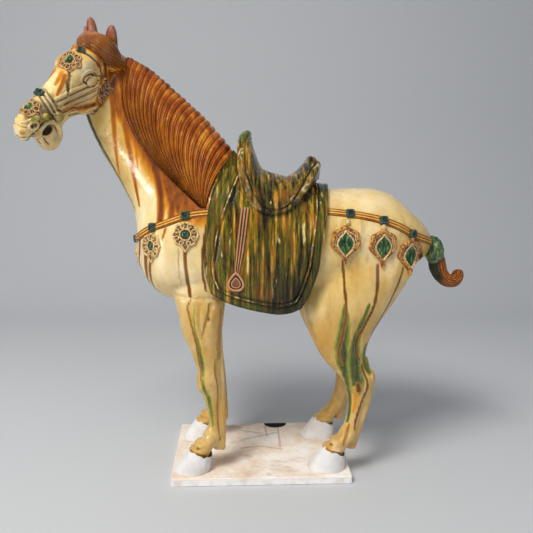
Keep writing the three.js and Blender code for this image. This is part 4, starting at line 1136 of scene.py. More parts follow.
MANE_TOP = 84.0  # rings of the neck where the crest starts and ends
MANE_END = 6.0
MANE_CONTROLS = [
    [(-216, 500), (-152, 500), (-60, 440)],
    [(-172, 462), (-136, 440), (-74, 410)],
    [(-88, 384), (-86, 384), (-79, 382)],
]
MANE_LOCKS = 22
MANE_COLUMNS = 20  # per lock
MANE_ROWS = 74
MANE_FAR_ROWS = 12  # over the crest to the right
MANE_FAR_DROP = 24.0
MANE_RISE = 6.2
MANE_ROOT = -4.0


def crest_at(number):
    """Places of the crest in the side view, for numbers of the neck's rings."""
    keys = np.arange(len(RING_HEIGHT))
    read = lambda values: np.interp(number, keys, values)
    height = read(RING_HEIGHT)
    return np.stack([read(RING_CENTRE[:, k]) + read(RING_UP[:, k]) * height for k in (0, 1)], axis=-1)


def leaving(field, place, count, outside, rounds):
    """Points where rays leave a field. place(distance) gives the points of all rays."""
    near, far = np.zeros(count), np.full(count, outside)
    for _ in range(rounds):
        middle = (near + far) / 2
        inside = field(place(middle)) < 0
        near, far = np.where(inside, middle, near), np.where(inside, far, middle)
    return place(near)


def side_point(field, x, z, flank):
    """Points of a field's surface seen from the side."""
    return leaving(field, lambda y: np.stack([x, flank * y, z], axis=1), len(x), 130.0, 15)


def mane(material):
    columns = MANE_LOCKS * MANE_COLUMNS + 1
    u = np.linspace(0, 1, columns)
    start = crest_at(MANE_TOP + (MANE_END - MANE_TOP) * u)
    control = [table([[0, *row[0]], [0.5, *row[1]], [1, *row[2]]]) for row in MANE_CONTROLS]
    control = [np.stack(look(c, u), axis=1) for c in control]
    t = np.concatenate([np.linspace(-1, 0, MANE_FAR_ROWS)[:-1], np.linspace(0, 1, MANE_ROWS) ** 1.15])
    s = np.clip(t, 0, 1)[:, None, None]
    side = (
        (1 - s) ** 3 * start + 3 * s * (1 - s) ** 2 * control[0]
        + 3 * s * s * (1 - s) * control[1] + s**3 * control[2]
    )
    flank = np.where(t < 0, RIGHT, LEFT)[:, None] * np.ones(columns)
    side[..., 1] += np.minimum(t, 0)[:, None] * MANE_FAR_DROP
    base = side_point(torso, side[..., 0].ravel(), side[..., 1].ravel(), flank.ravel())
    # each lock is a round ridge with finer strands in it
    phase = u * MANE_LOCKS
    lock, place = np.floor(phase), phase % 1
    ridge = np.abs(np.sin(np.pi * place)) ** 0.75
    strand = np.abs(np.sin(np.pi * (3 * place + 0.2 * np.sin(lock * 2.4))))
    own = 1 + 0.14 * np.sin(lock * 1.7 + 1) + 0.1 * np.sin(lock * 4.1)
    rise = MANE_RISE * (0.5 + 0.36 * ridge * own)
    fade = 1 - 0.6 * np.clip(t, 0, 1) ** 2.5
    lift = rise[None, :] * fade[:, None] + (0.75 * strand * ridge)[None, :] * ramp(-0.05, 0.25, t)[:, None]
    # the far edge and the top dip into the neck
    edge = ramp(0, 0.05, u)[None, :] * ramp(-1, -0.8, t)[:, None]
    lift = (lift + 1.0) * edge - 1.0
    points = settle(torso, base, 5, lift.ravel())
    grid = points.reshape(len(t), columns, 3)
    root = settle(torso, points, 5, MANE_ROOT).reshape(grid.shape)
    # Purple in the grooves between locks, for pooled glaze and painted shade.
    groove = np.maximum(ramp(0.42, 0.1, ridge), 0.5 * ramp(0.3, 0.05, strand))
    new_piece("mane", material, *shell(grid, root, {
        "groove": np.broadcast_to(groove, lift.shape),
        # Painted shade, with darker glaze, on the lower half of the locks toward the head.
        "dusk": 0.55 * ramp(0.5, 0.0, u)[None, :] * ramp(-0.1, 0.5, t)[:, None],
    }))


# Cloth under the saddle

BLANKET_RISE = 6.0
BLANKET_ROOT = -7.0
BLANKET_FRONT = table([
    [0, -73], [0.06, -79], [0.15, -82], [0.3, -79], [0.5, -74], [0.7, -64], [0.9, -50], [1, -43]])
BLANKET_REAR = table([
    [0, 52], [0.045, 61], [0.11, 68], [0.2, 74], [0.36, 78], [0.54, 83], [0.74, 87], [0.9, 91], [1, 96]])
BLANKET_HEM = table([
    [-90, 285], [-82, 278], [-73, 267], [-62, 259], [-49, 253], [-26, 246],
    [-3, 241], [22, 238], [40, 241], [52, 247], [61, 254], [69, 263], [100, 285]])
BLANKET_BORDER = 12.5
BLANKET_TUCK = 0.03
BLANKET_COLUMNS, BLANKET_ROWS = 176, 112
OUTLINE_STEPS = 60
OUTLINE_TOP = 440.0
LOW_RINGS = 60  # rings of the neck that the cloth may lie on


def back_top(x):
    """Height of the back or crest at a place."""
    crest = crest_at(np.arange(LOW_RINGS))
    order = np.argsort(crest[:, 0])
    neck_top = np.interp(x, crest[order, 0], crest[order, 1], right=0)
    return np.maximum(look(TRUNK, x)[0], np.where(x < -30, neck_top, 0))


def hanging_half(x, z, extra):
    """Reach of cloth that hangs straight down from the widest line of the trunk."""
    _, _, half, wide = look(TRUNK, x)
    above = np.maximum(trunk_half(x, z, extra), np.where(x < -30, neck_half(x, z, extra), 0))
    return np.where(z > wide, above, half + extra - (wide - z) * BLANKET_TUCK)


def line_gap(x, z, route):
    """Distance from places of the side view to a polyline in it."""
    best = np.full(x.shape, 1e3)
    for (x0, z0), (x1, z1) in zip(route[:-1], route[1:]):
        dx, dz = x1 - x0, z1 - z0
        t = np.clip(((x - x0) * dx + (z - z0) * dz) / max(dx * dx + dz * dz, 1e-9), 0, 1)
        best = np.minimum(best, np.hypot(x - x0 - t * dx, z - z0 - t * dz))
    return best


def cord_rise(gap, place, half, height):
    """Round cord of a given half width at a distance from an edge."""
    return height * dome((gap - place) / half)


def blanket_outline():
    """The cloth's edge in the side view: down in front, along the hem and up behind."""
    h = np.linspace(1, 0, OUTLINE_STEPS)
    front, rear = look(BLANKET_FRONT, h)[0], look(BLANKET_REAR, h)[0]
    x = np.concatenate([front, np.linspace(front[-1], rear[-1], OUTLINE_STEPS), rear[::-1]])
    share = np.concatenate([h, np.zeros(OUTLINE_STEPS), h[::-1]])
    hem = look(BLANKET_HEM, x)[0]
    return np.stack([x, hem + (OUTLINE_TOP - hem) * share], axis=1)


def over_back(rise):
    """Heights up the left flank and down the right one, and the flank of each."""
    side = np.ones(len(rise) - 1)
    return np.concatenate([rise, rise[-2::-1]]), np.concatenate([LEFT * side, [0.0], RIGHT * side])


def blanket_heights():
    """Share of the height for each row of the cloth, closer together at the hem."""
    rise = np.linspace(0, 1, BLANKET_ROWS) ** 1.3
    widest = 0.47
    return np.where(rise < 0.5, rise * 2 * widest, widest + (1 - widest) * np.sin(np.pi * (rise - 0.5)))


def eased(count, ease):
    """Steps from 0 to 1, closer together at both ends."""
    even = np.linspace(0, 1, count)
    return (1 - ease) * even + ease * (1 - np.cos(np.pi * even)) / 2


def blanket(material):
    height, flank = over_back(blanket_heights())
    v, h = np.meshgrid(eased(BLANKET_COLUMNS, 0.35), height, indexing="ij")
    x = look(BLANKET_FRONT, h)[0] * (1 - v) + look(BLANKET_REAR, h)[0] * v
    hem = look(BLANKET_HEM, x)[0]

    def layer(extra):
        z = hem + (back_top(x) + extra - hem) * h
        return np.stack([x, flank * hanging_half(x, z, extra), z], axis=-1)

    flat = layer(BLANKET_RISE)
    gap = line_gap(flat[..., 0], np.minimum(flat[..., 2], 430), blanket_outline())
    relief = (
        1.6 * ramp(0, 2.4, gap) + cord_rise(gap, BLANKET_BORDER, 1.6, 1.9)
        - 1.3 * bell(gap, BLANKET_BORDER - 2.3, 0.9)
        - 1.1 * bell(gap, BLANKET_BORDER + 2.3, 0.9)
        + 1.2 * ramp(BLANKET_BORDER + 2, BLANKET_BORDER + 8, gap)
        + 0.45 * np.sin(x * 0.21) * np.sin(flat[..., 2] * 0.05 + x * 0.04) * ramp(10, 30, gap)
    )
    outer = flat + grid_normals(flat) * relief[..., None]
    inner = layer(BLANKET_ROOT)
    inner[..., 2] = np.where(h < 0.5, outer[..., 2], inner[..., 2])
    # Painted shade, with darker glaze, low in the middle of the cloth and in the grooves beside the cord.
    low_middle = np.maximum(ramp(0.66, 0.1, h) * bell(x, 24, 40), 0.6 * ramp(0.9, 0.6, h) * bell(x, 6, 13))
    beside_cord = bell(np.abs(gap - BLANKET_BORDER), 2.3, 0.8)
    new_piece("blanket", material, *shell(outer, inner, {
        "rim": 0.95 * bell(gap, BLANKET_BORDER, 1.1),
        "dusk": np.clip(0.9 * low_middle + 0.85 * beside_cord, 0, 1),
        "border": ramp(BLANKET_BORDER - 1, BLANKET_BORDER - 3, gap),
    }))


# Saddle: place, top of the arch, lower edge of the flap
SADDLE = table([
    [-35, 463, 444], [-33, 482, 430], [-29, 490, 416], [-24, 493, 402], [-18, 489, 393], [-11, 469, 384],
    [-3, 449, 378], [14, 435, 374], [31, 431, 378], [47, 438, 391], [60, 449, 409],
    [73, 457, 430], [82, 449, 442],
])
SADDLE_ENDS = (-35, 82)
SADDLE_TIP, SADDLE_HEEL = (-25, -28, -31, -33), (80, 77, 74)
SADDLE_RISE = 12.0
SADDLE_RIM = 7.6
SADDLE_COLUMNS, SADDLE_ROWS = 170, 90


def saddle(material):
    x_line = SADDLE_ENDS[0] + (SADDLE_ENDS[1] - SADDLE_ENDS[0]) * eased(SADDLE_COLUMNS, 0.55)
    top, edge = look(SADDLE, x_line)
    heights, flank = over_back(np.linspace(0, 1, SADDLE_ROWS))
    x, h = np.meshgrid(x_line, heights, indexing="ij")
    _, _, half, wide = look(TRUNK, x)
    low, high = edge[:, None], top[:, None]
    z = low + (high - low) * np.sin(np.pi / 2 * h)
    y = (half + SADDLE_RISE) * dome(np.clip((z - wide) / (high - wide), -1, 1))
    flat = np.stack([x, flank * y, z], axis=-1)
    crown = lambda places: [(place, look(SADDLE, place)[0]) for place in places]
    ends = [*crown(SADDLE_TIP), (x_line[0], top[0]), *zip(x_line, edge), (x_line[-1], top[-1]),
            *crown(SADDLE_HEEL)]
    gap = line_gap(x, z, np.array(ends))
    knobs = 0.7 * np.sin(x * 0.33 + z * 0.21) * np.sin(z * 0.4)
    wide_rim = SADDLE_RIM * (1 + 0.25 * ramp(0, -25, x) - 0.3 * bell(x, 22, 24))
    relief = (
        cord_rise(gap, wide_rim * 0.48, wide_rim * 0.52, 3.6 + knobs)
        - 1.2 * bell(gap, wide_rim + 0.4, 1.1)
        + cord_rise(gap, wide_rim + 2.6, 1.2, 1.2)
        - 2.2 * bell(x, 24, 40) * ramp(SADDLE_RIM, SADDLE_RIM + 18, gap)
    )
    outer = flat + grid_normals(flat) * relief[..., None]
    inner = np.stack([x, flat[..., 1] * 0.72, np.minimum(z - 14, 425)], axis=-1)
    on_rim = ramp(wide_rim + 0.5, wide_rim - 2.5, gap)
    cream = 0.3 + 0.45 * ramp(8, -14, x) * ramp(474, 462, z) + 0.3 * ramp(40, 62, x)
    # Painted shade, with darker glaze, down in the seat near the rim and in the groove outside the rim.
    shade = 0.7 * ramp(34, 6, gap) * bell(x, 22, 28) * (1 - 0.5 * on_rim)
    new_piece("saddle", material, *shell(outer, inner, {
        "rim": np.clip(cream * on_rim + 0.6 * bell(gap, wide_rim + 2.6, 0.9), 0, 1),
        "dusk": np.clip(shade + 0.8 * bell(gap, wide_rim + 0.4, 1.0), 0, 1),
        "tip": ramp(470, 484, z),
    }))


# Harness

STRAP_WIDTH = 11.5
STRAP_COLUMNS = 27
STRAP_RIBS = 3
STRAP_SINK = 4.0
STRAP_STEPS = 200


def ribs(across):
    """Profile of a strap with parallel ridges, across from -1 to 1."""
    wave = 0.5 + 0.5 * np.cos(np.pi * STRAP_RIBS * across)
    return dome(across**3) * (1.6 + 1.5 * wave)


def ribbon(field, route, width):
    """Ribbed strap laid on a field along a route, closed below."""
    outward = unit(gradient(field, route, 1.5))
    up = unit(np.cross(outward, unit(np.gradient(route, axis=0))))
    across = np.linspace(-1, 1, STRAP_COLUMNS)
    spread = route[:, None] + up[:, None] * (across[None, :, None] * width / 2)
    flat = settle(field, spread.reshape(-1, 3), 4).reshape(spread.shape)
    rise = ribs(across)
    top = flat + outward[:, None] * rise[None, :, None]
    root = flat - outward[:, None] * STRAP_SINK
    # The groove mask darkens the low lines between the ribs, for pooled glaze and painted shade.
    return shell(top, root, {"groove": np.broadcast_to(1 - rise / rise.max(), flat.shape[:2])})


def around(field, axis_x, turn, z, ahead, flank):
    """Places where level rays from an upright axis leave the body."""
    angle = np.radians(turn)
    direction = np.stack([ahead * np.cos(angle), flank * np.sin(angle), np.zeros_like(angle)], axis=1)
    start = np.stack([np.full_like(z, axis_x), np.zeros_like(z), z], axis=1)
    return leaving(field, lambda reach: start + direction * reach[:, None], len(z), 200.0, 16)


BREAST_AXIS, CRUPPER_AXIS = -110.0, 170.0
BREAST_STRAP = table([[0, 338], [30, 343], [50, 355], [66, 361], [94, 373], [121, 378]])
CRUPPER_STRAP = table([[0, 331], [30, 337], [57, 347], [74, 357], [97, 367], [126, 375], [140, 378]])
BREAST_REACH, CRUPPER_REACH = 121.0, 140.0
MEDALLIONS = [(0, 312), (53, 331), (93, 347)]  # turn from the middle of the chest, height
PENDANTS = [(58, 314), (94, 328), (126, 333)]
LINK_RISE = 10.0  # of a link over the middle between strap and pendant

torso_plus = field_of(FIGURE[:3] + FIGURE[5:7])  # with the shoulders and hind legs


def strap_route(axis_x, smooth, reach, ahead):
    turn = np.linspace(-reach, reach, STRAP_STEPS)
    z = look(smooth, np.abs(turn))[0]
    return around(torso_plus, axis_x, np.abs(turn), z, ahead, np.where(turn < 0, LEFT, RIGHT))


def inside_gap(u, v, outline):
    """Distance from an outline in its own plane, positive inside it."""
    gap = line_gap(u, v, np.vstack([outline, outline[:1]]))
    inside = np.zeros(u.shape, bool)
    for (u0, v0), (u1, v1) in zip(outline, np.roll(outline, -1, axis=0)):
        crossing = (v0 > v) != (v1 > v)
        inside ^= crossing & (u < (u1 - u0) * (v - v0) / (v1 - v0 + 1e-12) + u0)
    return np.where(inside, gap, -gap)


@functools.lru_cache
def sampled(profile, half_wide, half_high, count):
    """Places, rise and masks of an ornament on its own grid."""
    u, v = np.meshgrid(np.linspace(-half_wide, half_wide, count), np.linspace(-half_high, half_high, count))
    return u, v, *profile(u, v)


ORNAMENT_SINK = 3.0


def relief_on(field, centre, outward, up, half_wide, half_high, profile, count, reach=60):
    """Heightfield ornament laid on a field.

    profile(u, v) gives its rise and masks. Where the rise is below 0 it is cut off.
    """
    across = unit(np.cross(up, outward))
    up = np.cross(outward, across)
    u, v, rise, masks = sampled(profile, half_wide, half_high, count)
    points = (centre + u[..., None] * across + v[..., None] * up).reshape(-1, 3)
    flat = points
    for _ in range(6):
        slope = (field(flat + outward) - field(flat - outward)) / 2
        flat = flat - (np.clip(field(flat) / np.maximum(slope, 0.35), -6, 6))[:, None] * outward
    lifted = flat + outward * np.where(rise < 0, -ORNAMENT_SINK, rise).ravel()[:, None]
    faces = grid_faces(count, count)
    far_off = np.abs((flat - points) @ outward) > reach
    keep = (rise.ravel()[faces] >= 0).any(axis=1) & ~far_off[faces].any(axis=1)
    normal = np.cross(lifted[faces[:, 1]] - lifted[faces[:, 0]], lifted[faces[:, 2]] - lifted[faces[:, 0]])
    if (normal[keep] @ outward).mean() < 0:
        faces = faces[:, ::-1]
    return trimmed(lifted, faces, keep, {key: values.ravel() for key, values in masks.items()})


def around_circle(count):
    return np.linspace(0, 2 * np.pi, count, endpoint=False)


MEDALLION_RADIUS = 18.0
MEDALLION_FOOT = 5.5  # reach of the drop at its lower end


def medallion_outline():
    """Round with eight faint lobes and a drop below."""
    angle = around_circle(96)
    down = np.angle(np.exp(1j * (angle + np.pi / 2)))
    r = MEDALLION_RADIUS * (1 + 0.035 * np.cos(8 * angle)) + MEDALLION_FOOT * bell(down, 0, 0.2)
    return np.stack([r * np.cos(angle), r * np.sin(angle)], axis=1)


MEDALLION = medallion_outline()


def scrollwork(u, v, radius, count, ring):
    """Ring-shaped scrolls round a centre, 1 on their lines."""
    value = np.zeros(u.shape)
    for angle in around_circle(count) + np.pi / count:
        du, dv = u - radius * np.cos(angle), v - radius * np.sin(angle)
        turn = np.arctan2(dv, du) - angle
        spiral = ring * (0.62 + 0.38 * ((turn / (2 * np.pi)) % 1))
        value = np.maximum(value, ramp(1.25, 0.5, np.abs(np.hypot(du, dv) - spiral)))
        value = np.maximum(value, ramp(1.1, 0.4, np.hypot(du, dv)))
    return value


def medallion_profile(u, v):
    """Rim, ring of scrolls, collar and a jewel in the middle."""
    gap = inside_gap(u, v, MEDALLION)
    r = np.hypot(u, v)
    rim = cord_rise(gap, 1.6, 1.6, 1.6)
    scroll = scrollwork(u, v, 12.4, 8, 3.2) * (gap > 2.2) * (r > 8.6)
    collar = cord_rise(r, 7.6, 1.3, 1.6)
    rise = 1.6 + rim + 1.5 * scroll + collar + np.where(r < 5.6, 3.2 * dome(r / 6.0), 0)
    return np.where(gap < 0, -1, rise), {
        "line": np.clip(rim + scroll + 0.8 * (collar > 0.5), 0, 1),
        "jewel": ramp(5.8, 5.4, r),
        "border": 0.6 * ramp(5.8, 5.4, r),
        "recess": np.clip((gap > 2.4) * (r > 8.8) * (1 - scroll) + bell(r, 6.1, 0.8), 0, 1),
    }


def jewel_bead_profile(u, v):
    """Square bead with rounded corners and a dark hollow in its middle."""
    q = (np.abs(u / 6.2) ** 5 + np.abs(v / 6.2) ** 5) ** 0.2
    r = np.hypot(u, v)
    rise = 4.2 * dome(q**4) + 1.6 - 1.3 * ramp(3.6, 2.4, r) + 0.6 * ramp(1.8, 0.8, r)
    return np.where(q >= 1, -1, rise), {
        "jewel": np.ones(u.shape), "recess": ramp(3.8, 2.8, r), "border": np.ones(u.shape)}


def leaf_outline(widths, length):
    """Outline with half widths given from its top to its foot."""
    half = np.convolve(np.pad(evenly(widths, 40), 1, mode="edge"), [0.25, 0.5, 0.25], "valid")
    side = np.stack([half, length * (0.5 - np.linspace(0, 1, 40))], axis=1)
    return np.concatenate([side, side[::-1] * [-1, 1]])


PENDANT = leaf_outline([2.5, 7, 15.5, 19, 18.4, 18.8, 20.8, 21.4, 20, 17, 13, 8.5, 5, 3.2, 2.4, 1.2], 53)
LEAF = leaf_outline([0.2, 3, 6.6, 9.6, 11.6, 12.2, 11.6, 9.8, 6.8, 3.6, 0.3], 36)


def pendant_profile(u, v):
    """Ribbed plate with a corded edge and a leaf in the middle."""
    gap = inside_gap(u, v, PENDANT)
    leaf = inside_gap(u, v - 2.0, LEAF)
    angle = np.arctan2(v + 14, u)
    ridge = cord_rise(gap, 2.4, 2.4, 2.6)
    inner_cord = cord_rise(gap, 5.6, 0.9, 0.8) * (leaf < 0)
    ribbed = 0.45 * (0.5 + 0.5 * np.sin(angle * 44)) * (gap > 6.6) * (leaf < 0)
    blade = 1.8 * ramp(0, 4, leaf) - 1.0 * ramp(1.0, 0.2, np.abs(u)) * (leaf > 1.5)
    border = cord_rise(leaf, 0.6, 1.3, 1.7)
    rise = 1.4 + ridge + inner_cord + ribbed + np.where(leaf > 0, blade, 0) + border
    foot = ramp(-17, -20, v)
    return np.where(gap < 0, -1, rise + 1.2 * foot), {
        "line": np.clip(inner_cord * 1.2 + border * 0.8, 0, 1),
        "jewel": ramp(1.4, 2.6, leaf),
        "recess": (gap > 6.4) * (leaf < -0.8),
        "border": ramp(5.0, 3.8, gap),
    }


LINK_HALF = (3.4, 5.0)


def link_profile(u, v):
    q = np.hypot(u / LINK_HALF[0], v / LINK_HALF[1])
    return np.where(q >= 1, -1, 3.0 * dome(q) + 0.8), {"line": np.ones(u.shape)}


# Half width, half height, profile and points per side of each kind of ornament
MEDALLION_GRID = (20, 25, medallion_profile, 104)
PENDANT_GRID = (21.5, 27, pendant_profile, 108)
BEAD_GRID = (7, 7, jewel_bead_profile, 40)
LINK_GRID = (3.6, 5.2, link_profile, 24)
UPWARD = np.array([0.0, 0.0, 1.0])


def hung(axis_x, turn, z, ahead, flank, grid):
    """Ornament at a turn and height round the chest or the rump."""
    point = around(torso_plus, axis_x, np.array([float(turn)]), np.array([float(z)]), ahead, flank)
    outward = unit(gradient(torso_plus, point, 3.0))[0]
    return relief_on(torso_plus, point[0], outward, UPWARD, *grid)


def ornaments(material):
    """Medallions and pendants with their beads and links."""
    breast, crupper = [], []
    for flank in (LEFT, RIGHT):
        for turn, z in MEDALLIONS:
            if turn == 0 and flank == RIGHT:
                continue
            strap_z = look(BREAST_STRAP, turn)[0]
            breast.append(hung(BREAST_AXIS, turn, z, -1, flank, MEDALLION_GRID))
            breast.append(hung(BREAST_AXIS, turn, strap_z, -1, flank, BEAD_GRID))
        for turn, z in PENDANTS:
            strap_z = look(CRUPPER_STRAP, turn)[0]
            crupper.append(hung(CRUPPER_AXIS, turn, z, 1, flank, PENDANT_GRID))
            crupper.append(hung(CRUPPER_AXIS, turn, strap_z, 1, flank, BEAD_GRID))
            crupper.append(hung(CRUPPER_AXIS, turn, (strap_z + z) / 2 + LINK_RISE, 1, flank, LINK_GRID))
    for name, parts in (("breast_ornaments", breast), ("crupper_ornaments", crupper)):
        new_piece(name, material, *joined(parts))


def straps(material):
    breast = strap_route(BREAST_AXIS, BREAST_STRAP, BREAST_REACH, -1)
    crupper = strap_route(CRUPPER_AXIS, CRUPPER_STRAP, CRUPPER_REACH, 1)
    for name, route in (("breast_strap", breast), ("crupper_strap", crupper)):
        new_piece(name, material, *ribbon(torso_plus, route, STRAP_WIDTH))


STIRRUP_STRAP = [(-25, 384), (-28, 360), (-31, 335), (-37, 292)]
STIRRUP_WIDTHS = [6.4, 6.2, 5.6, 3.4]
STIRRUP_STEPS = 90
STIRRUP_LIFT = BLANKET_RISE + 3.4
STIRRUP_DIP = 0.8
STIRRUP_SINK = 3
LOOP_PLACE = (-38, 283)
LOOP_POINTS = 90
LOOP = np.array([
    (0, 15), (4, 12), (7, 8.5), (10.5, 3), (12, -3), (10.5, -8.5), (6, -12), (0, -13),
    (-6, -12), (-10.5, -8.5), (-12, -3), (-10.5, 3), (-7, 8.5), (-4, 12),
], float)


def on_blanket(x, z, flank, rise):
    """Points on the hanging cloth, raised above it."""
    skin = hanging_half(x, z, STIRRUP_LIFT) - STIRRUP_DIP
    return np.stack([x, flank * (skin + rise), z], axis=-1)


def stirrup_strap(flank):
    line = bend(STIRRUP_STRAP, STIRRUP_STEPS)
    across = np.linspace(-1, 1, STRAP_COLUMNS)
    x = line[:, 0:1] + across[None, :] * evenly(STIRRUP_WIDTHS, STIRRUP_STEPS)[:, None]
    z = np.broadcast_to(line[:, 1:2], x.shape)
    rise = ribs(across)[None, :]
    top, root = on_blanket(x, z, flank, rise), on_blanket(x, z, flank, -STIRRUP_SINK)
    if flank == LEFT:
        top, root = top[::-1], root[::-1]
    # Darker between the ribs, for pooled glaze and painted shade.
    return shell(top, root, {"groove": np.broadcast_to(1 - rise / rise.max(), x.shape)})


def stirrup_loop(flank):
    """Heart-shaped plate at the strap's lower end, with a smaller heart on it."""
    outline = bend(np.vstack([LOOP, LOOP[:1]]), 60)[:-1]
    u, v = np.meshgrid(np.linspace(-13, 13, LOOP_POINTS), np.linspace(-14, 16, LOOP_POINTS))
    gap = inside_gap(u, v, outline)
    inner = inside_gap(u, v, outline * 0.55 + [0, -1])
    rise = 0.8 + cord_rise(gap, 2.0, 2.0, 2.8) + cord_rise(inner, 0.8, 1.2, 1.8) + 1.2 * ramp(0.5, 3, inner)
    lifted = np.where(gap < 0, -STIRRUP_SINK, rise)
    points = on_blanket(LOOP_PLACE[0] + u, LOOP_PLACE[1] + v, flank, lifted).reshape(-1, 3)
    faces = grid_faces(LOOP_POINTS, LOOP_POINTS)
    if flank == RIGHT:
        faces = faces[:, ::-1]
    keep = (gap.ravel()[faces] >= 0).any(axis=1)
    # Darker where the plate is low, for pooled glaze and painted shade.
    groove = np.clip(1.25 - rise / 2.6, 0, 1).ravel()
    points, faces, masks = trimmed(points, faces, keep, {"groove": groove})
    return points, triangles(faces), masks


def stirrup_straps(material):
    parts = [make(flank) for flank in (LEFT, RIGHT) for make in (stirrup_strap, stirrup_loop)]
    new_piece("stirrup_straps", material, *joined(parts))


# Bridle ornaments in the head's frame: place, direction of the face there, half width, half height

FOREHEAD = [(61, 9, 37), (0, 0.3, 1), 23, 17]
NOSE_PLATE = [(157, 3, 23), (0.14, 0.2, 1), 19, 16]
JAW_PLATE = [(49, 29, -27), (-0.05, 1, -0.35), 10, 24]
JAW_PLATE_UP = (-26, 6, 32)
BRIDLE_BEADS = [  # place, half sizes, turn
    ((34, 11, 35), (5.2, 3.3), 30), ((129, -9, 28), (4.8, 4.4), 0), ((129, 3, 28), (4.8, 4.4), 0),
]


def face_plate_profile(half_wide, half_high):
    """Lobed plate with eight scrolls, a collar and a jewel."""
    angle = around_circle(90)
    lobes = 1 + 0.07 * np.cos(6 * angle)
    outline = np.stack([half_wide * lobes * np.cos(angle), half_high * lobes * np.sin(angle)], axis=1)
    small = min(half_wide, half_high)

    def profile(u, v):
        gap = inside_gap(u, v, outline)
        r = np.hypot(u, v)
        rim = cord_rise(gap, 1.2, 1.2, 1.2)
        reach = np.hypot(u / half_wide, v / half_high)
        scroll = np.zeros(u.shape)
        for turn in around_circle(8) + np.pi / 8:
            near = np.hypot(u - 0.68 * half_wide * np.cos(turn), v - 0.68 * half_high * np.sin(turn))
            scroll = np.maximum(scroll, ramp(1.1, 0.4, np.abs(near - 0.16 * small - 0.8)))
            scroll = np.maximum(scroll, ramp(0.9, 0.3, near))
        scroll = scroll * (gap > 1.6) * (reach > 0.4)
        collar = cord_rise(r, 0.5 * small, 1.0, 1.3)
        rise = 1.2 + rim + 1.3 * scroll + collar + 2.6 * dome(r / (0.42 * small))
        dark = (gap > 1.4) * (r > 0.58 * small) * (1 - scroll) + bell(r, 0.42 * small, 0.6)
        return np.where(gap < 0, -1, rise), {
            "line": np.clip(0.4 * rim + 0.6 * scroll + 0.7 * (collar > 0.3), 0, 1),
            "jewel": ramp(0.42 * small, 0.36 * small, r),
            "recess": np.clip(dark, 0, 1),
            "border": ramp(0.5 * small, 0.6 * small, r) * 0.75,
        }

    return profile


def jaw_plate_profile(u, v):
    """Oval plate with a vine of six scrolls."""
    angle = around_circle(70)
    outline = np.stack([JAW_PLATE[2] * np.cos(angle), JAW_PLATE[3] * np.sin(angle)], axis=1) * HEAD_SIZE
    gap = inside_gap(u, v, outline)
    scroll = np.zeros(u.shape)
    for k in range(6):
        du, dv = u - 2.6 * (-1) ** k, v - (k - 2.5) * 5.2
        turn = (np.arctan2(dv, du) / (2 * np.pi) + 0.2 * k) % 1
        scroll = np.maximum(scroll, ramp(0.95, 0.3, np.abs(np.hypot(du, dv) - 1.2 - 2.2 * turn)))
    scroll = scroll * (gap > 0.8)
    rim = cord_rise(gap, 1.0, 1.0, 1.2)
    return np.where(gap < 0, -1, 0.9 + rim + 1.5 * scroll), {
        "line": np.clip(0.2 * rim + 0.35 * scroll, 0, 1),
        "recess": (gap > 1.4) * (1 - scroll),
        "border": np.full(u.shape, 0.9),
    }


def bridle_bead_profile(half_wide, half_high):
    """Square bead with a hollow in its middle."""

    def profile(u, v):
        q = (np.abs(u / half_wide) ** 4 + np.abs(v / half_high) ** 4) ** 0.25
        r = np.hypot(u / half_wide, v / half_high)
        rise = 0.6 * half_high * dome(q**3) + 1.3 - 0.9 * ramp(0.55, 0.35, r)
        return np.where(q >= 1, -1, rise), {
            "jewel": np.ones(u.shape), "recess": ramp(0.65, 0.45, r), "border": np.ones(u.shape)}

    return profile


def head_direction(vector, side=1):
    """Unit vector of one given on the left in the head's frame, for either side."""
    return unit((np.array(vector) * [1, side, 1]) @ HEAD_AXES)


def head_place(spot, direction, side=1):
    centre = settle(figure, from_head([np.array(spot) * [1, side, 1]]), 6)[0]
    return centre, head_direction(direction, side)


def bridle(material):
    parts = []
    for spot, direction, wide, high in (FOREHEAD, NOSE_PLATE):
        half = wide * HEAD_SIZE, high * HEAD_SIZE
        profile = face_plate_profile(*half)
        parts.append(relief_on(figure, *head_place(spot, direction), -HEAD_AXES[0],
                               half[0] * 1.15, half[1] * 1.15, profile, 110))
    for side in (1, -1):
        place, up = head_place(*JAW_PLATE[:2], side), head_direction(JAW_PLATE_UP, side)
        parts.append(relief_on(figure, *place, up, 11, 22, jaw_plate_profile, 90, reach=9))
    for spot, half, turn in BRIDLE_BEADS:
        up = head_direction((-math.cos(math.radians(turn)), -math.sin(math.radians(turn)), 0))
        parts.append(relief_on(figure, *head_place(spot, (0, 0, 1)), up, half[0] + 0.6, half[1] + 0.6,
                               bridle_bead_profile(*half), 40))
    new_piece("bridle_ornaments", material, *joined(parts))


# Tail

TAIL_PLUME = [
    (262, -12, 316), (265, -10, 304), (268, -9, 292), (274, -8, 281), (284, -8, 273), (294, -8, 273),
    (299, -8, 281), (297, -8, 290)]
TAIL_RADII = [9, 12, 12.2, 11, 10, 9.4, 9, 7]
TAIL_RIDGES = 9
TAIL_STEPS, TAIL_SIDES = 120, 140
KNOT_CENTRE, KNOT_SIZE = (258, -15, 320), (15, 14, 21.5)
KNOT_SIDES, KNOT_RINGS = 110, 90
KNOT_LEAN = -0.12


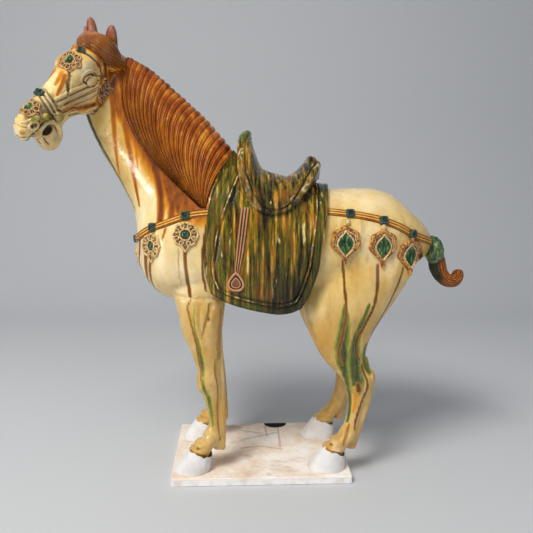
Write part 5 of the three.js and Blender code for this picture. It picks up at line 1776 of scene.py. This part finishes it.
def tail_plume(material):
    """Short plume, turned up at its end, with ridges that wind round it."""
    t = np.linspace(0, 1, TAIL_STEPS)
    angle = around_circle(TAIL_SIDES)
    route = bend(TAIL_PLUME, TAIL_STEPS)
    radii = evenly(TAIL_RADII, TAIL_STEPS) * np.sqrt(np.clip((1 - t) / 0.05, 0.0004, 1))
    ridges = np.abs(np.sin(TAIL_RIDGES * angle[None, :] + 2.2 * t[:, None])) ** 0.8
    ripple = 0.93 + 0.12 * ridges * ramp(0, 0.1, t)[:, None]
    points, faces = swept(route, radii[:, None] * ripple, (0, 1, 0))
    outward = unit(points.reshape(TAIL_STEPS, TAIL_SIDES, 3) - route[:, None])
    below = ramp(0.1, 0.6, outward @ [-0.75, -0.2, -0.63]) * ramp(0.62, 0.45, t)[:, None]
    # Purple between the ridges, for pooled glaze and painted shade.
    new_piece("tail_plume", material, points, faces, {"groove": ramp(0.4, 0.1, ridges), "green": below})


def tail_knot(material):
    """Lumpy ball at the root of the tail, its top leaning forward."""
    down = np.linspace(0.02, np.pi - 0.02, KNOT_RINGS)
    a, b = np.meshgrid(around_circle(KNOT_SIDES), down)
    lumps = 1 + 0.03 * np.cos(14 * b + 2 * a) * np.cos(5 * a - 3 * b) + 0.012 * np.cos(17 * a + 6 * b)
    ball = np.stack([np.sin(b) * np.cos(a), -np.sin(b) * np.sin(a), np.cos(b)], axis=-1) * lumps[..., None]
    ball = ball * KNOT_SIZE
    ball[..., 0] += KNOT_LEAN * ball[..., 2]
    points = (KNOT_CENTRE + ball).reshape(-1, 3)
    new_piece("tail_knot", material, points, grid_faces(KNOT_RINGS, KNOT_SIDES, True), {})


# Hooves: front, back and half width of the sole, then of the coronet
HOOVES = [(-131, -79, 22.5, -107, -76, 17.0), (66, 120, 22.5, 90, 121, 17.0)]
HOOF_DISTANCE = 53.0
HOOF_SIDES, HOOF_LEVELS = 96, 30
HOOF_POWER = 2.35
SOLE_INSETS = (14, 14, 10)  # of the sole's middle ring at its front, back and sides
CORONET = (21.0, 33.0)  # height behind and in front


def hoof(sole, coronet, flank):
    """Hoof as rings from the middle of its sole up to the coronet."""
    angle = around_circle(HOOF_SIDES)
    cos, sin = np.cos(angle), np.sin(angle)
    lip = CORONET[0] + (CORONET[1] - CORONET[0]) * (0.5 + 0.5 * cos)
    lip = lip + 1.2 * np.sin(5 * angle + sole[0]) + 0.7 * np.sin(11 * angle)
    along, aside = [np.sign(part) * np.abs(part) ** (2 / HOOF_POWER) for part in (cos, sin)]
    rings = []
    for k, s in enumerate(np.concatenate([[0, 0], np.linspace(0.02, 1, HOOF_LEVELS)])):
        front, back, wide = [low + (high - low) * s for low, high in zip(sole, coronet)]
        if k == 0:
            front, back, wide = front + SOLE_INSETS[0], back - SOLE_INSETS[1], wide - SOLE_INSETS[2]
        bulge = 1 + 0.03 * math.sin(math.pi * s)
        x = (front + back) / 2 - (back - front) / 2 * bulge * along
        rings.append(np.stack([x, flank * HOOF_DISTANCE + wide * bulge * aside, s * lip], axis=1))
    points = np.concatenate(rings)
    return points, grid_faces(len(rings), HOOF_SIDES, True), {}


def hooves(material):
    parts = [hoof(row[:3], row[3:], flank) for row in HOOVES for flank in (LEFT, RIGHT)]
    new_piece("hooves", material, *joined(parts))


# Materials


def paint(text):
    """Linear colour of a six-digit sRGB one."""
    values = [int(text[k:k + 2], 16) / 255 for k in (0, 2, 4)]
    return (*[v / 12.92 if v <= 0.04045 else ((v + 0.055) / 1.055) ** 2.4 for v in values], 1.0)


class Nodes:
    """Short calls for the nodes of one material."""

    def __init__(self, name):
        self.material = bpy.data.materials.new(name)
        self.material.use_nodes = True
        self.tree = self.material.node_tree
        self.shader = self.tree.nodes["Principled BSDF"]
        self.where = self.node("ShaderNodeTexCoord").outputs["Object"]

    def node(self, kind, **settings):
        node = self.tree.nodes.new(kind)
        for key, value in settings.items():
            setattr(node, key, value)
        return node

    def link(self, value, socket):
        if isinstance(value, bpy.types.NodeSocket):
            self.tree.links.new(value, socket)
        else:
            socket.default_value = value

    def mask(self, name):
        return self.node("ShaderNodeAttribute", attribute_name=name).outputs["Fac"]

    def math(self, operation, a, b=0.0, clamp=False):
        node = self.node("ShaderNodeMath", operation=operation, use_clamp=clamp)
        self.link(a, node.inputs[0])
        self.link(b, node.inputs[1])
        return node.outputs[0]

    def times(self, a, b, clamp=False):
        return self.math("MULTIPLY", a, b, clamp)

    def plus(self, a, b, clamp=False):
        return self.math("ADD", a, b, clamp)

    def minus(self, a, b):
        return self.math("SUBTRACT", a, b)

    def noise(self, scale, detail=3.0, stretch=(1, 1, 1), roughness=0.55, offset=0.0):
        """Noise of about scale cells per metre, stretched by the given factors."""
        mapping = self.node("ShaderNodeMapping")
        self.link(self.where, mapping.inputs["Vector"])
        mapping.inputs["Scale"].default_value = stretch
        mapping.inputs["Location"].default_value = (offset, offset * 0.7, offset * 0.3)
        node = self.node("ShaderNodeTexNoise")
        self.link(mapping.outputs["Vector"], node.inputs["Vector"])
        node.inputs["Scale"].default_value = scale
        node.inputs["Detail"].default_value = detail
        node.inputs["Roughness"].default_value = roughness
        return node.outputs["Fac"]

    def cracks(self, scale):
        """Thin lines of a crackled glaze, 1 on the line."""
        node = self.node("ShaderNodeTexVoronoi", feature="DISTANCE_TO_EDGE")
        self.link(self.where, node.inputs["Vector"])
        node.inputs["Scale"].default_value = scale
        return self.span(node.outputs["Distance"], 0.035, 0.0)

    def span(self, value, low, high, to_low=0.0, to_high=1.0):
        node = self.node("ShaderNodeMapRange", clamp=True)
        node.interpolation_type = "SMOOTHSTEP"
        self.link(value, node.inputs["Value"])
        for key, number in zip(("From Min", "From Max", "To Min", "To Max"), (low, high, to_low, to_high)):
            node.inputs[key].default_value = number
        return node.outputs["Result"]

    def ramp(self, value, stops):
        node = self.node("ShaderNodeValToRGB")
        self.link(value, node.inputs["Fac"])
        elements = node.color_ramp.elements
        for element, (place, colour) in zip(elements, (stops[0], stops[-1])):
            element.position = place
            element.color = paint(colour)
        for place, colour in stops[1:-1]:
            elements.new(place).color = paint(colour)
        return node.outputs["Color"]

    def mix(self, share, a, b):
        node = self.node("ShaderNodeMix", data_type="RGBA")
        self.link(share, node.inputs[0])
        self.link(paint(a) if isinstance(a, str) else a, node.inputs[6])
        self.link(paint(b) if isinstance(b, str) else b, node.inputs[7])
        return node.outputs[2]

    def masked(self, name, strength, base, colour):
        """Base with a colour over it where a mask is set."""
        return self.mix(self.times(self.mask(name), strength), base, colour)

    def over(self, value, low, high, strength, base, colour):
        """Base with a colour over it, from none where a value is low to its strength where it is high."""
        return self.mix(self.span(value, low, high, 0, strength), base, colour)

    def stirred(self, value, noise, amount):
        """Value that a noise moves up and down."""
        return self.plus(value, self.times(self.minus(noise, 0.5), amount))

    def sheen(self, scale, low, high, start=0.35):
        """Roughness that changes over the surface."""
        return self.span(self.noise(scale, 3), start, 0.7, low, high)

    def finish(self, colour, roughness, height, depth, coat=0.0, specular=0.5):
        self.link(colour, self.shader.inputs["Base Color"])
        self.link(roughness, self.shader.inputs["Roughness"])
        self.shader.inputs["Coat Weight"].default_value = coat
        self.shader.inputs["Coat Roughness"].default_value = 0.06
        self.shader.inputs["Specular IOR Level"].default_value = specular
        bump = self.node("ShaderNodeBump")
        bump.inputs["Strength"].default_value = 1.0
        bump.inputs["Distance"].default_value = depth
        self.link(height, bump.inputs["Height"])
        self.link(bump.outputs["Normal"], self.shader.inputs["Normal"])
        return self.material

    def glaze_waves(self):
        """Slow swell and fine pitting of a poured glaze."""
        return self.plus(self.noise(60, 2), self.times(self.noise(700, 2), 0.12))

    def frayed(self, name, amount):
        """Mask whose edge wanders like a run of glaze."""
        noise = self.noise(220, 3, (1, 1, 0.25))
        drift = self.times(self.minus(noise, 0.5), amount)
        value = self.mask(name)
        drift = self.times(drift, self.span(value, 0.0, 0.25))
        return self.plus(value, drift, clamp=True)


AMBER_STOPS = [
    (0.0, "dcbb74"), (0.2, "dca53c"), (0.4, "cc8818"), (0.62, "b86c10"), (0.84, "96500c"), (1.0, "663208")]
DRIP_STOPS = [(0.1, "bc9038"), (0.32, "a8741c"), (0.55, "8c5a10"), (0.76, "6a4008"), (1.0, "3e2406")]
GREEN_STOPS = [
    (0.0, "d6bd78"), (0.2, "bca644"), (0.42, "948c2c"), (0.6, "6c7420"), (0.78, "4c5616"), (1.0, "2a300e")]
PALE_AND_LIT_STOPS = [(0.36, "e4c684"), (0.5, "f0daa4"), (0.62, "f6e8c4")]
OLIVE_STOPS = [(0.34, "473e18"), (0.5, "73622c"), (0.66, "9a8650")]


def coat_material():
    """Straw-coloured glaze with washes and runs of amber, green and brown over it, and painted shade and
    light.
    """
    n = Nodes("straw_glaze")
    hollow = n.mask("hollow")
    base = n.ramp(n.noise(13, 4), [(0.32, "cfa85a"), (0.5, "e2c27a"), (0.66, "efd8a2")])
    base = n.over(n.noise(40, 4, (1, 1, 0.35)), 0.46, 0.72, 0.6, base, "c3903e")
    base = n.over(n.noise(70, 5, (1, 1, 0.4), 0.65, 11.0), 0.5, 0.7, 0.5, base, "a9873a")
    clouds = n.span(n.noise(55, 4, (1, 1, 0.4), 0.6, 7.0), 0.3, 0.62, 0.3, 1.1)
    # Honey tint on the legs and painted shade on the upper neck.
    honey = n.times(n.mask("honey"), clouds)
    base = n.mix(n.times(honey, 0.7, clamp=True), base, "bd8a2c")
    # Paler glaze, and painted light on the chest, the top of the rump and the brow over the eye.
    base = n.masked("pale", 0.75, base, n.ramp(n.noise(25, 4, (1, 1, 0.5)), PALE_AND_LIT_STOPS))
    base = n.masked("olive", 0.85, base, n.ramp(n.noise(120, 4), OLIVE_STOPS))
    base = n.over(n.noise(900, 2), 0.66, 0.76, 0.4, base, "9c7434")
    # Darker in hollows, for pooled glaze and painted shade, and lighter on ridges.
    base = n.over(hollow, 0.05, 0.4, 0.85, base, "8f5c18")
    base = n.over(hollow, 0.25, 0.75, 0.85, base, "40280d")
    base = n.over(hollow, -0.12, -0.5, 0.4, base, "f0e0b4")
    base = n.mix(n.times(n.cracks(330), 0.16), base, "94703a")
    amber, green, drip = n.frayed("amber", 0.5), n.frayed("green", 0.6), n.frayed("drip", 0.16)
    pooled_amber = n.stirred(amber, n.noise(70, 4, (1, 1, 0.25)), 0.35)
    pooled_green = n.stirred(green, n.noise(110, 4, (1, 1, 0.25)), 0.5)
    pooled_drip = n.stirred(drip, n.noise(90, 4, (1, 1, 0.2)), 0.3)
    colour = n.mix(n.span(green, 0.04, 0.3), base, n.ramp(pooled_green, GREEN_STOPS))
    colour = n.mix(n.span(amber, 0.04, 0.34), colour, n.ramp(pooled_amber, AMBER_STOPS))
    colour = n.mix(n.span(drip, 0.1, 0.5), colour, n.ramp(pooled_drip, DRIP_STOPS))
    # Near black for the painted shade in the mouth, the nostrils, under the lips and along the face's
    # grooves.
    dark = n.mask("dark")
    colour = n.mix(n.times(dark, 0.95), colour, "120b05")
    rough = n.math("MAXIMUM", n.sheen(35, 0.13, 0.28), n.times(dark, 0.7))
    return n.finish(colour, rough, n.glaze_waves(), 0.0012, coat=0.3)


def amber_material(name, deep, middle, light, purple):
    """Amber-brown glaze that pools dark in grooves and runs thin over ridges; the dark in the grooves is
    painted shade as well.
    """
    n = Nodes(name)
    hollow = n.mask("hollow")
    base = n.ramp(n.noise(70, 4, (1, 1, 0.3)), [(0.3, deep), (0.5, middle), (0.72, light)])
    # Lighter over ridges; purple in hollows and grooves, for pooled glaze and painted shade.
    base = n.over(hollow, -0.08, -0.45, 0.75, base, light)
    base = n.over(hollow, 0.05, 0.45, 0.8, base, purple)
    base = n.over(n.mask("groove"), 0.35, 0.7, 0.85, base, purple)
    base = n.over(n.noise(520, 2), 0.62, 0.72, 0.35, base, light)
    base = n.masked("tip", 0.75, base, "55282c")
    speckled = n.times(n.mask("speckled"), n.span(n.noise(330, 3), 0.5, 0.6), clamp=True)
    base = n.mix(n.times(speckled, 0.65), base, "8d5f78")
    # Painted shade with darker glaze, in purple, where that mask is set.
    base = n.masked("dusk", 0.85, base, purple)
    base = n.masked("green", 0.92, base, "0d2a17")
    return n.finish(base, n.sheen(90, 0.2, 0.38), n.glaze_waves(), 0.0009, coat=0.1, specular=0.3)


STREAK_STOPS = [
    (0.36, "0c0a04"), (0.42, "1d1a06"), (0.46, "3e340a"), (0.49, "6c4c0c"), (0.52, "3e4e0c"),
    (0.545, "5e6810"), (0.57, "9c6c0e"), (0.6, "b07410"), (0.64, "d29c2c"), (0.7, "ecd48a"),
]
RIM_STOPS = [
    (0.34, "3a300c"), (0.42, "6e4a12"), (0.48, "a8742a"), (0.52, "7a5c50"), (0.575, "e0cc9c"),
    (0.62, "8c8038"), (0.7, "4a5a20"),
]


def streaked_material():
    """Green, amber and cream glazes that ran down together."""
    n = Nodes("streaked_glaze")
    streak = n.noise(230, 5, (1, 0.14, 0.06), 0.58)
    blot = n.noise(340, 3, (1, 0.3, 0.2), 0.6, 3.0)
    broad = n.noise(60, 3, (1, 0.3, 0.16), 0.5, 8.0)
    field = n.plus(n.times(streak, 0.85), n.times(blot, 0.17))
    colour = n.ramp(n.stirred(field, broad, 0.3), STREAK_STOPS)
    colour = n.over(n.noise(120, 2, (1, 0.4, 0.24), 0.5, 9.0), 0.67, 0.72, 0.85, colour, "dcc684")
    warm = n.span(n.noise(55, 3, (1, 1, 0.3), 0.5, 5.0), 0.5, 0.66)
    colour = n.mix(n.times(warm, 0.4), colour, "a2621a")
    colour = n.masked("border", 0.45, colour, "3a4414")
    # Near black in hollows, for pooled glaze and painted shade.
    colour = n.over(n.mask("hollow"), 0.05, 0.6, 0.9, colour, "100b05")
    colour = n.masked("tip", 0.6, colour, "4a6a24")
    rim_tone = n.ramp(n.noise(85, 2, (1, 1, 0.5), 0.5, 1.0), RIM_STOPS)
    worn = n.span(n.noise(75, 2, (1, 1, 0.5)), 0.38, 0.6, 0.5, 1.25)
    colour = n.mix(n.span(n.times(n.mask("rim"), worn), 0.25, 0.85), colour, rim_tone)
    # Painted shade with darker glaze, near black, where that mask is set.
    colour = n.masked("dusk", 0.85, colour, "120e07")
    height = n.plus(n.glaze_waves(), n.times(streak, 0.6))
    return n.finish(colour, n.sheen(120, 0.16, 0.34), height, 0.0012, coat=0.1, specular=0.35)


JEWEL_STOPS = [(0.34, "061a0c"), (0.47, "18401c"), (0.58, "3c6a2c"), (0.7, "a3b07c")]


def ornament_material(name, field_colour, border_colour):
    """Ochre openwork with pale lines, dark recesses and green jewels."""
    n = Nodes(name)
    tone = n.noise(260, 3)
    border = n.mask("border")
    base = n.ramp(tone, [(0.35, "a8742e"), (0.5, "cba258"), (0.66, "dfc184")])
    base = n.mix(border, base, n.ramp(tone, [(0.34, "6a300a"), (0.48, border_colour), (0.62, "d29a48")]))
    recess_tone = n.ramp(n.noise(420, 2), [(0.37, "2a140a"), (0.5, field_colour), (0.63, "a8857c")])
    base = n.masked("recess", 0.9, base, recess_tone)
    line_tone = n.ramp(n.noise(330, 2), [(0.35, "b0752c"), (0.52, "d9b878"), (0.7, "ecd9ae")])
    base = n.masked("line", 0.8, base, line_tone)
    # Dark brown in hollows, for pooled glaze and painted shade.
    base = n.over(n.mask("hollow"), 0.12, 0.6, 0.85, base, "2e160a")
    jewel = n.ramp(n.noise(260, 3, (1, 1, 0.4)), JEWEL_STOPS)
    jewel = n.mix(n.times(border, 0.8), jewel, "223c36")
    jewel = n.masked("recess", 0.9, jewel, "0b120d")
    base = n.mix(n.mask("jewel"), base, jewel)
    return n.finish(base, n.sheen(200, 0.14, 0.3), n.glaze_waves(), 0.0006, coat=0.25)


KNOT_STOPS = [(0.34, "16301a"), (0.48, "36592a"), (0.6, "6d8046"), (0.72, "b3b47c")]


def knot_material():
    n = Nodes("green_glaze")
    colour = n.ramp(n.noise(190, 4, (1, 1, 0.5)), KNOT_STOPS)
    # Dark green in hollows, for pooled glaze and painted shade.
    colour = n.over(n.mask("hollow"), 0.02, 0.4, 0.8, colour, "14291a")
    return n.finish(colour, n.sheen(90, 0.14, 0.3), n.glaze_waves(), 0.001, coat=0.5)


def hoof_material():
    """Dry unglazed clay with a chalky bloom and stains."""
    n = Nodes("chalky_biscuit")
    colour = n.ramp(n.noise(30, 5), [(0.3, "d6d1cc"), (0.6, "e9e6e4")])
    colour = n.over(n.noise(18, 5, (1, 1, 1), 0.65, 4.0), 0.52, 0.72, 0.4, colour, "c0a07c")
    colour = n.over(n.noise(520, 3), 0.6, 0.75, 0.28, colour, "a88a6a")
    height = n.plus(n.noise(140, 4), n.times(n.noise(1500, 2), 0.4))
    return n.finish(colour, n.sheen(60, 0.78, 0.95, 0.3), height, 0.0012, specular=0.25)


SLAB_TOP = 0.0085, 0.0118  # heights between which the edge's colour turns into the top's
SLAB_SCRATCHES = [  # both ends
    ((0.007, 0.090), (0.009, 0.048)), ((0.029, 0.078), (0.029, 0.010)),
    ((-0.035, 0.036), (0.027, 0.062)), ((-0.036, 0.008), (-0.004, 0.014)),
    ((-0.004, 0.014), (0.031, 0.003)), ((-0.037, 0.072), (0.001, 0.060)),
]
SCRATCH_END = 0.003  # length over which a scratch fades
SLAB_PATCH = [(0.025, 0.098), (0.020, 0.017)]  # middle and half sizes of the dark patch
SIDE_STOPS = [(0.34, "e9e1d9"), (0.5, "f8f4f0"), (0.7, "fcfaf7")]
FACE_STOPS = [(0.32, "e6cdb6"), (0.48, "f4e4d2"), (0.62, "fcf5eb")]


def scratched(n, face, across, away):
    """Colour of the slab's top with its ochre scratches."""
    drift = n.times(n.minus(n.noise(30, 3), 0.5), 0.006)
    for start, end in SLAB_SCRATCHES:
        length = math.dist(start, end)
        step = [(end[k] - start[k]) / length for k in (0, 1)]
        apart = [n.minus(value, begin) for value, begin in zip((across, away), start)]
        along = n.plus(n.times(apart[0], step[0]), n.times(apart[1], step[1]))
        off = n.minus(n.times(apart[0], step[1]), n.times(apart[1], step[0]))
        off = n.math("ABSOLUTE", n.plus(off, drift))
        starts = n.span(along, -SCRATCH_END, SCRATCH_END)
        stops = n.span(along, length + SCRATCH_END, length - SCRATCH_END)
        inside = n.times(starts, stops)
        face = n.mix(n.times(n.span(off, 0.0022, 0.0008, 0, 0.5), inside), face, "b08458")
    return face


def slab_material():
    """Unglazed clay, pale at the edges, with scratches and a dark patch on top."""
    n = Nodes("slab_biscuit")
    separate = n.node("ShaderNodeSeparateXYZ")
    n.link(n.where, separate.inputs[0])
    across, away, height = separate.outputs
    face = n.ramp(n.noise(24, 6, (1, 1, 1), 0.65), FACE_STOPS)
    face = n.over(n.noise(34, 6, (0.5, 1, 1), 0.7, 2.0), 0.52, 0.7, 0.5, face, "b08a62")
    face = scratched(n, face, across, away)
    patch = [n.math("DIVIDE", n.minus(value, middle), half)
             for value, middle, half in zip((across, away), *SLAB_PATCH)]
    reach = n.plus(n.times(patch[0], patch[0]), n.times(patch[1], patch[1]))
    face = n.mix(n.span(reach, 1.1, 0.85), face, "15130f")
    colour = n.mix(n.span(height, *SLAB_TOP), n.ramp(n.noise(60, 5), SIDE_STOPS), face)
    height = n.plus(n.noise(120, 5), n.times(n.noise(1300, 2), 0.4))
    return n.finish(colour, n.sheen(60, 0.8, 0.96, 0.3), height, 0.0015, specular=0.2)


def floor_material():
    n = Nodes("floor_matte")
    return n.finish(paint("c6c8c9"), n.sheen(8, 0.8, 0.9, 0.3), n.noise(900, 2), 0.0001)


# Stage

FLOOR_FRONT, FLOOR_BACK, FLOOR_HALF = -6.0, 1.0, 6.0
FLOOR_BEND = 0.9
WALL_TOP = 5.0


def sweep_floor(material):
    """Pale floor that turns up into a pale wall behind the horse."""
    turns = np.linspace(0.1, math.pi / 2, 14)
    profile = [(FLOOR_FRONT, 0.0), (FLOOR_BACK, 0.0)]
    profile += [(FLOOR_BACK + FLOOR_BEND * math.sin(a), FLOOR_BEND * (1 - math.cos(a))) for a in turns]
    profile += [(FLOOR_BACK + FLOOR_BEND, WALL_TOP)]
    points = [(x, y, z) for y, z in profile for x in (-FLOOR_HALF, FLOOR_HALF)]
    faces = [[2 * k, 2 * k + 1, 2 * k + 3, 2 * k + 2] for k in range(len(profile) - 1)]
    mesh = bpy.data.meshes.new("floor")
    mesh.from_pydata(points, [], faces)
    mesh.polygons.foreach_set("use_smooth", np.ones(len(faces), bool))
    mesh.materials.append(material)
    floor = bpy.data.objects.new("floor", mesh)
    bpy.context.scene.collection.objects.link(floor)


CAMERA_PLACE = (-0.020, -0.757, 0.397)
CAMERA_PITCH = math.radians(6.79)
CAMERA_YAW = math.radians(2.0)
SENSOR = 36.0
FOCAL_IN_FRAMES = 500 / 533


def camera():
    data = bpy.data.cameras.new("camera")
    data.sensor_width = SENSOR
    data.sensor_fit = "HORIZONTAL"
    data.lens = SENSOR * FOCAL_IN_FRAMES
    data.clip_start = 0.02
    obj = bpy.data.objects.new("camera", data)
    obj.location = CAMERA_PLACE
    obj.rotation_euler = (math.pi / 2 - CAMERA_PITCH, 0, -CAMERA_YAW)
    bpy.context.scene.collection.objects.link(obj)
    bpy.context.scene.camera = obj


LIGHTS = [  # name, place, target, width, height, power, colour
    ("key", (-0.9, -1.2, 2.1), (-0.05, 0, 0.3), 0.9, 0.9, 46, (1.0, 0.98, 0.95)),
    ("skylight", (-0.9, -1.2, 2.2), (-0.05, 0, 0.3), 0.22, 0.22, 5, (1.0, 0.99, 0.97)),
    ("window", (-2.3, -1.3, 0.5), (-0.05, 0, 0.3), 0.4, 0.6, 12, (1.0, 0.99, 0.97)),
    ("fill", (1.5, -1.9, 1.0), (0.05, 0, 0.3), 1.6, 1.4, 8, (0.98, 0.99, 1.0)),
]
SKY_COLOUR = (0.86, 0.9, 1.0, 1)
SKY_RISE = (("From Min", -0.3), ("From Max", 1.0), ("To Min", 0.22), ("To Max", 0.4))


def area_light(name, place, target, width, height, power, colour):
    light = bpy.data.lights.new(name, "AREA")
    light.shape = "RECTANGLE"
    light.size, light.size_y, light.energy, light.color = width, height, power, colour
    obj = bpy.data.objects.new(name, light)
    bpy.context.scene.collection.objects.link(obj)
    obj.location = place
    x, y, z = np.array(target) - np.array(place)
    obj.rotation_euler = (math.atan2(math.hypot(x, y), -z), 0, math.atan2(y, x) - math.pi / 2)
    return obj


def sky():
    """Pale light from all round, brighter from above."""
    world = bpy.data.worlds.new("studio")
    world.use_nodes = True
    tree = world.node_tree
    place = tree.nodes.new("ShaderNodeSeparateXYZ")
    tree.links.new(tree.nodes.new("ShaderNodeTexCoord").outputs["Generated"], place.inputs[0])
    rise = tree.nodes.new("ShaderNodeMapRange")
    tree.links.new(place.outputs["Z"], rise.inputs["Value"])
    for key, number in SKY_RISE:
        rise.inputs[key].default_value = number
    tree.links.new(rise.outputs["Result"], tree.nodes["Background"].inputs["Strength"])
    tree.nodes["Background"].inputs["Color"].default_value = SKY_COLOUR
    bpy.context.scene.world = world


def studio():
    sky()
    bpy.context.scene.view_settings.view_transform = "Standard"
    key, *_ = [area_light(*row) for row in LIGHTS]
    key.visible_glossy = False


def main():
    streaked = streaked_material()
    strap_glaze = amber_material("strap_glaze", "b46010", "dc9026", "f4c668", "4c240a")
    openwork = ornament_material("ornament_glaze", "683e28", "a05c18")
    mane_glaze = amber_material("mane_glaze", "743006", "a8540c", "d98f2c", "421806")
    camera()
    coat(coat_material())
    hair(amber_material("hair_glaze", "b4560a", "e08a1e", "f6b44a", "5c2a0c"))
    mane(mane_glaze)
    blanket(streaked)
    saddle(streaked)
    straps(strap_glaze)
    stirrup_straps(amber_material("stirrup_glaze", "6a3c1c", "945e34", "c0906a", "2a1006"))
    ornaments(openwork)
    bridle(openwork)
    tail_plume(mane_glaze)
    tail_knot(knot_material())
    hooves(hoof_material())
    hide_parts("glazed_horse")
    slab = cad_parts["plinth_slab"]
    slab.data.materials.clear()
    slab.data.materials.append(slab_material())
    sweep_floor(floor_material())
    studio()


main()
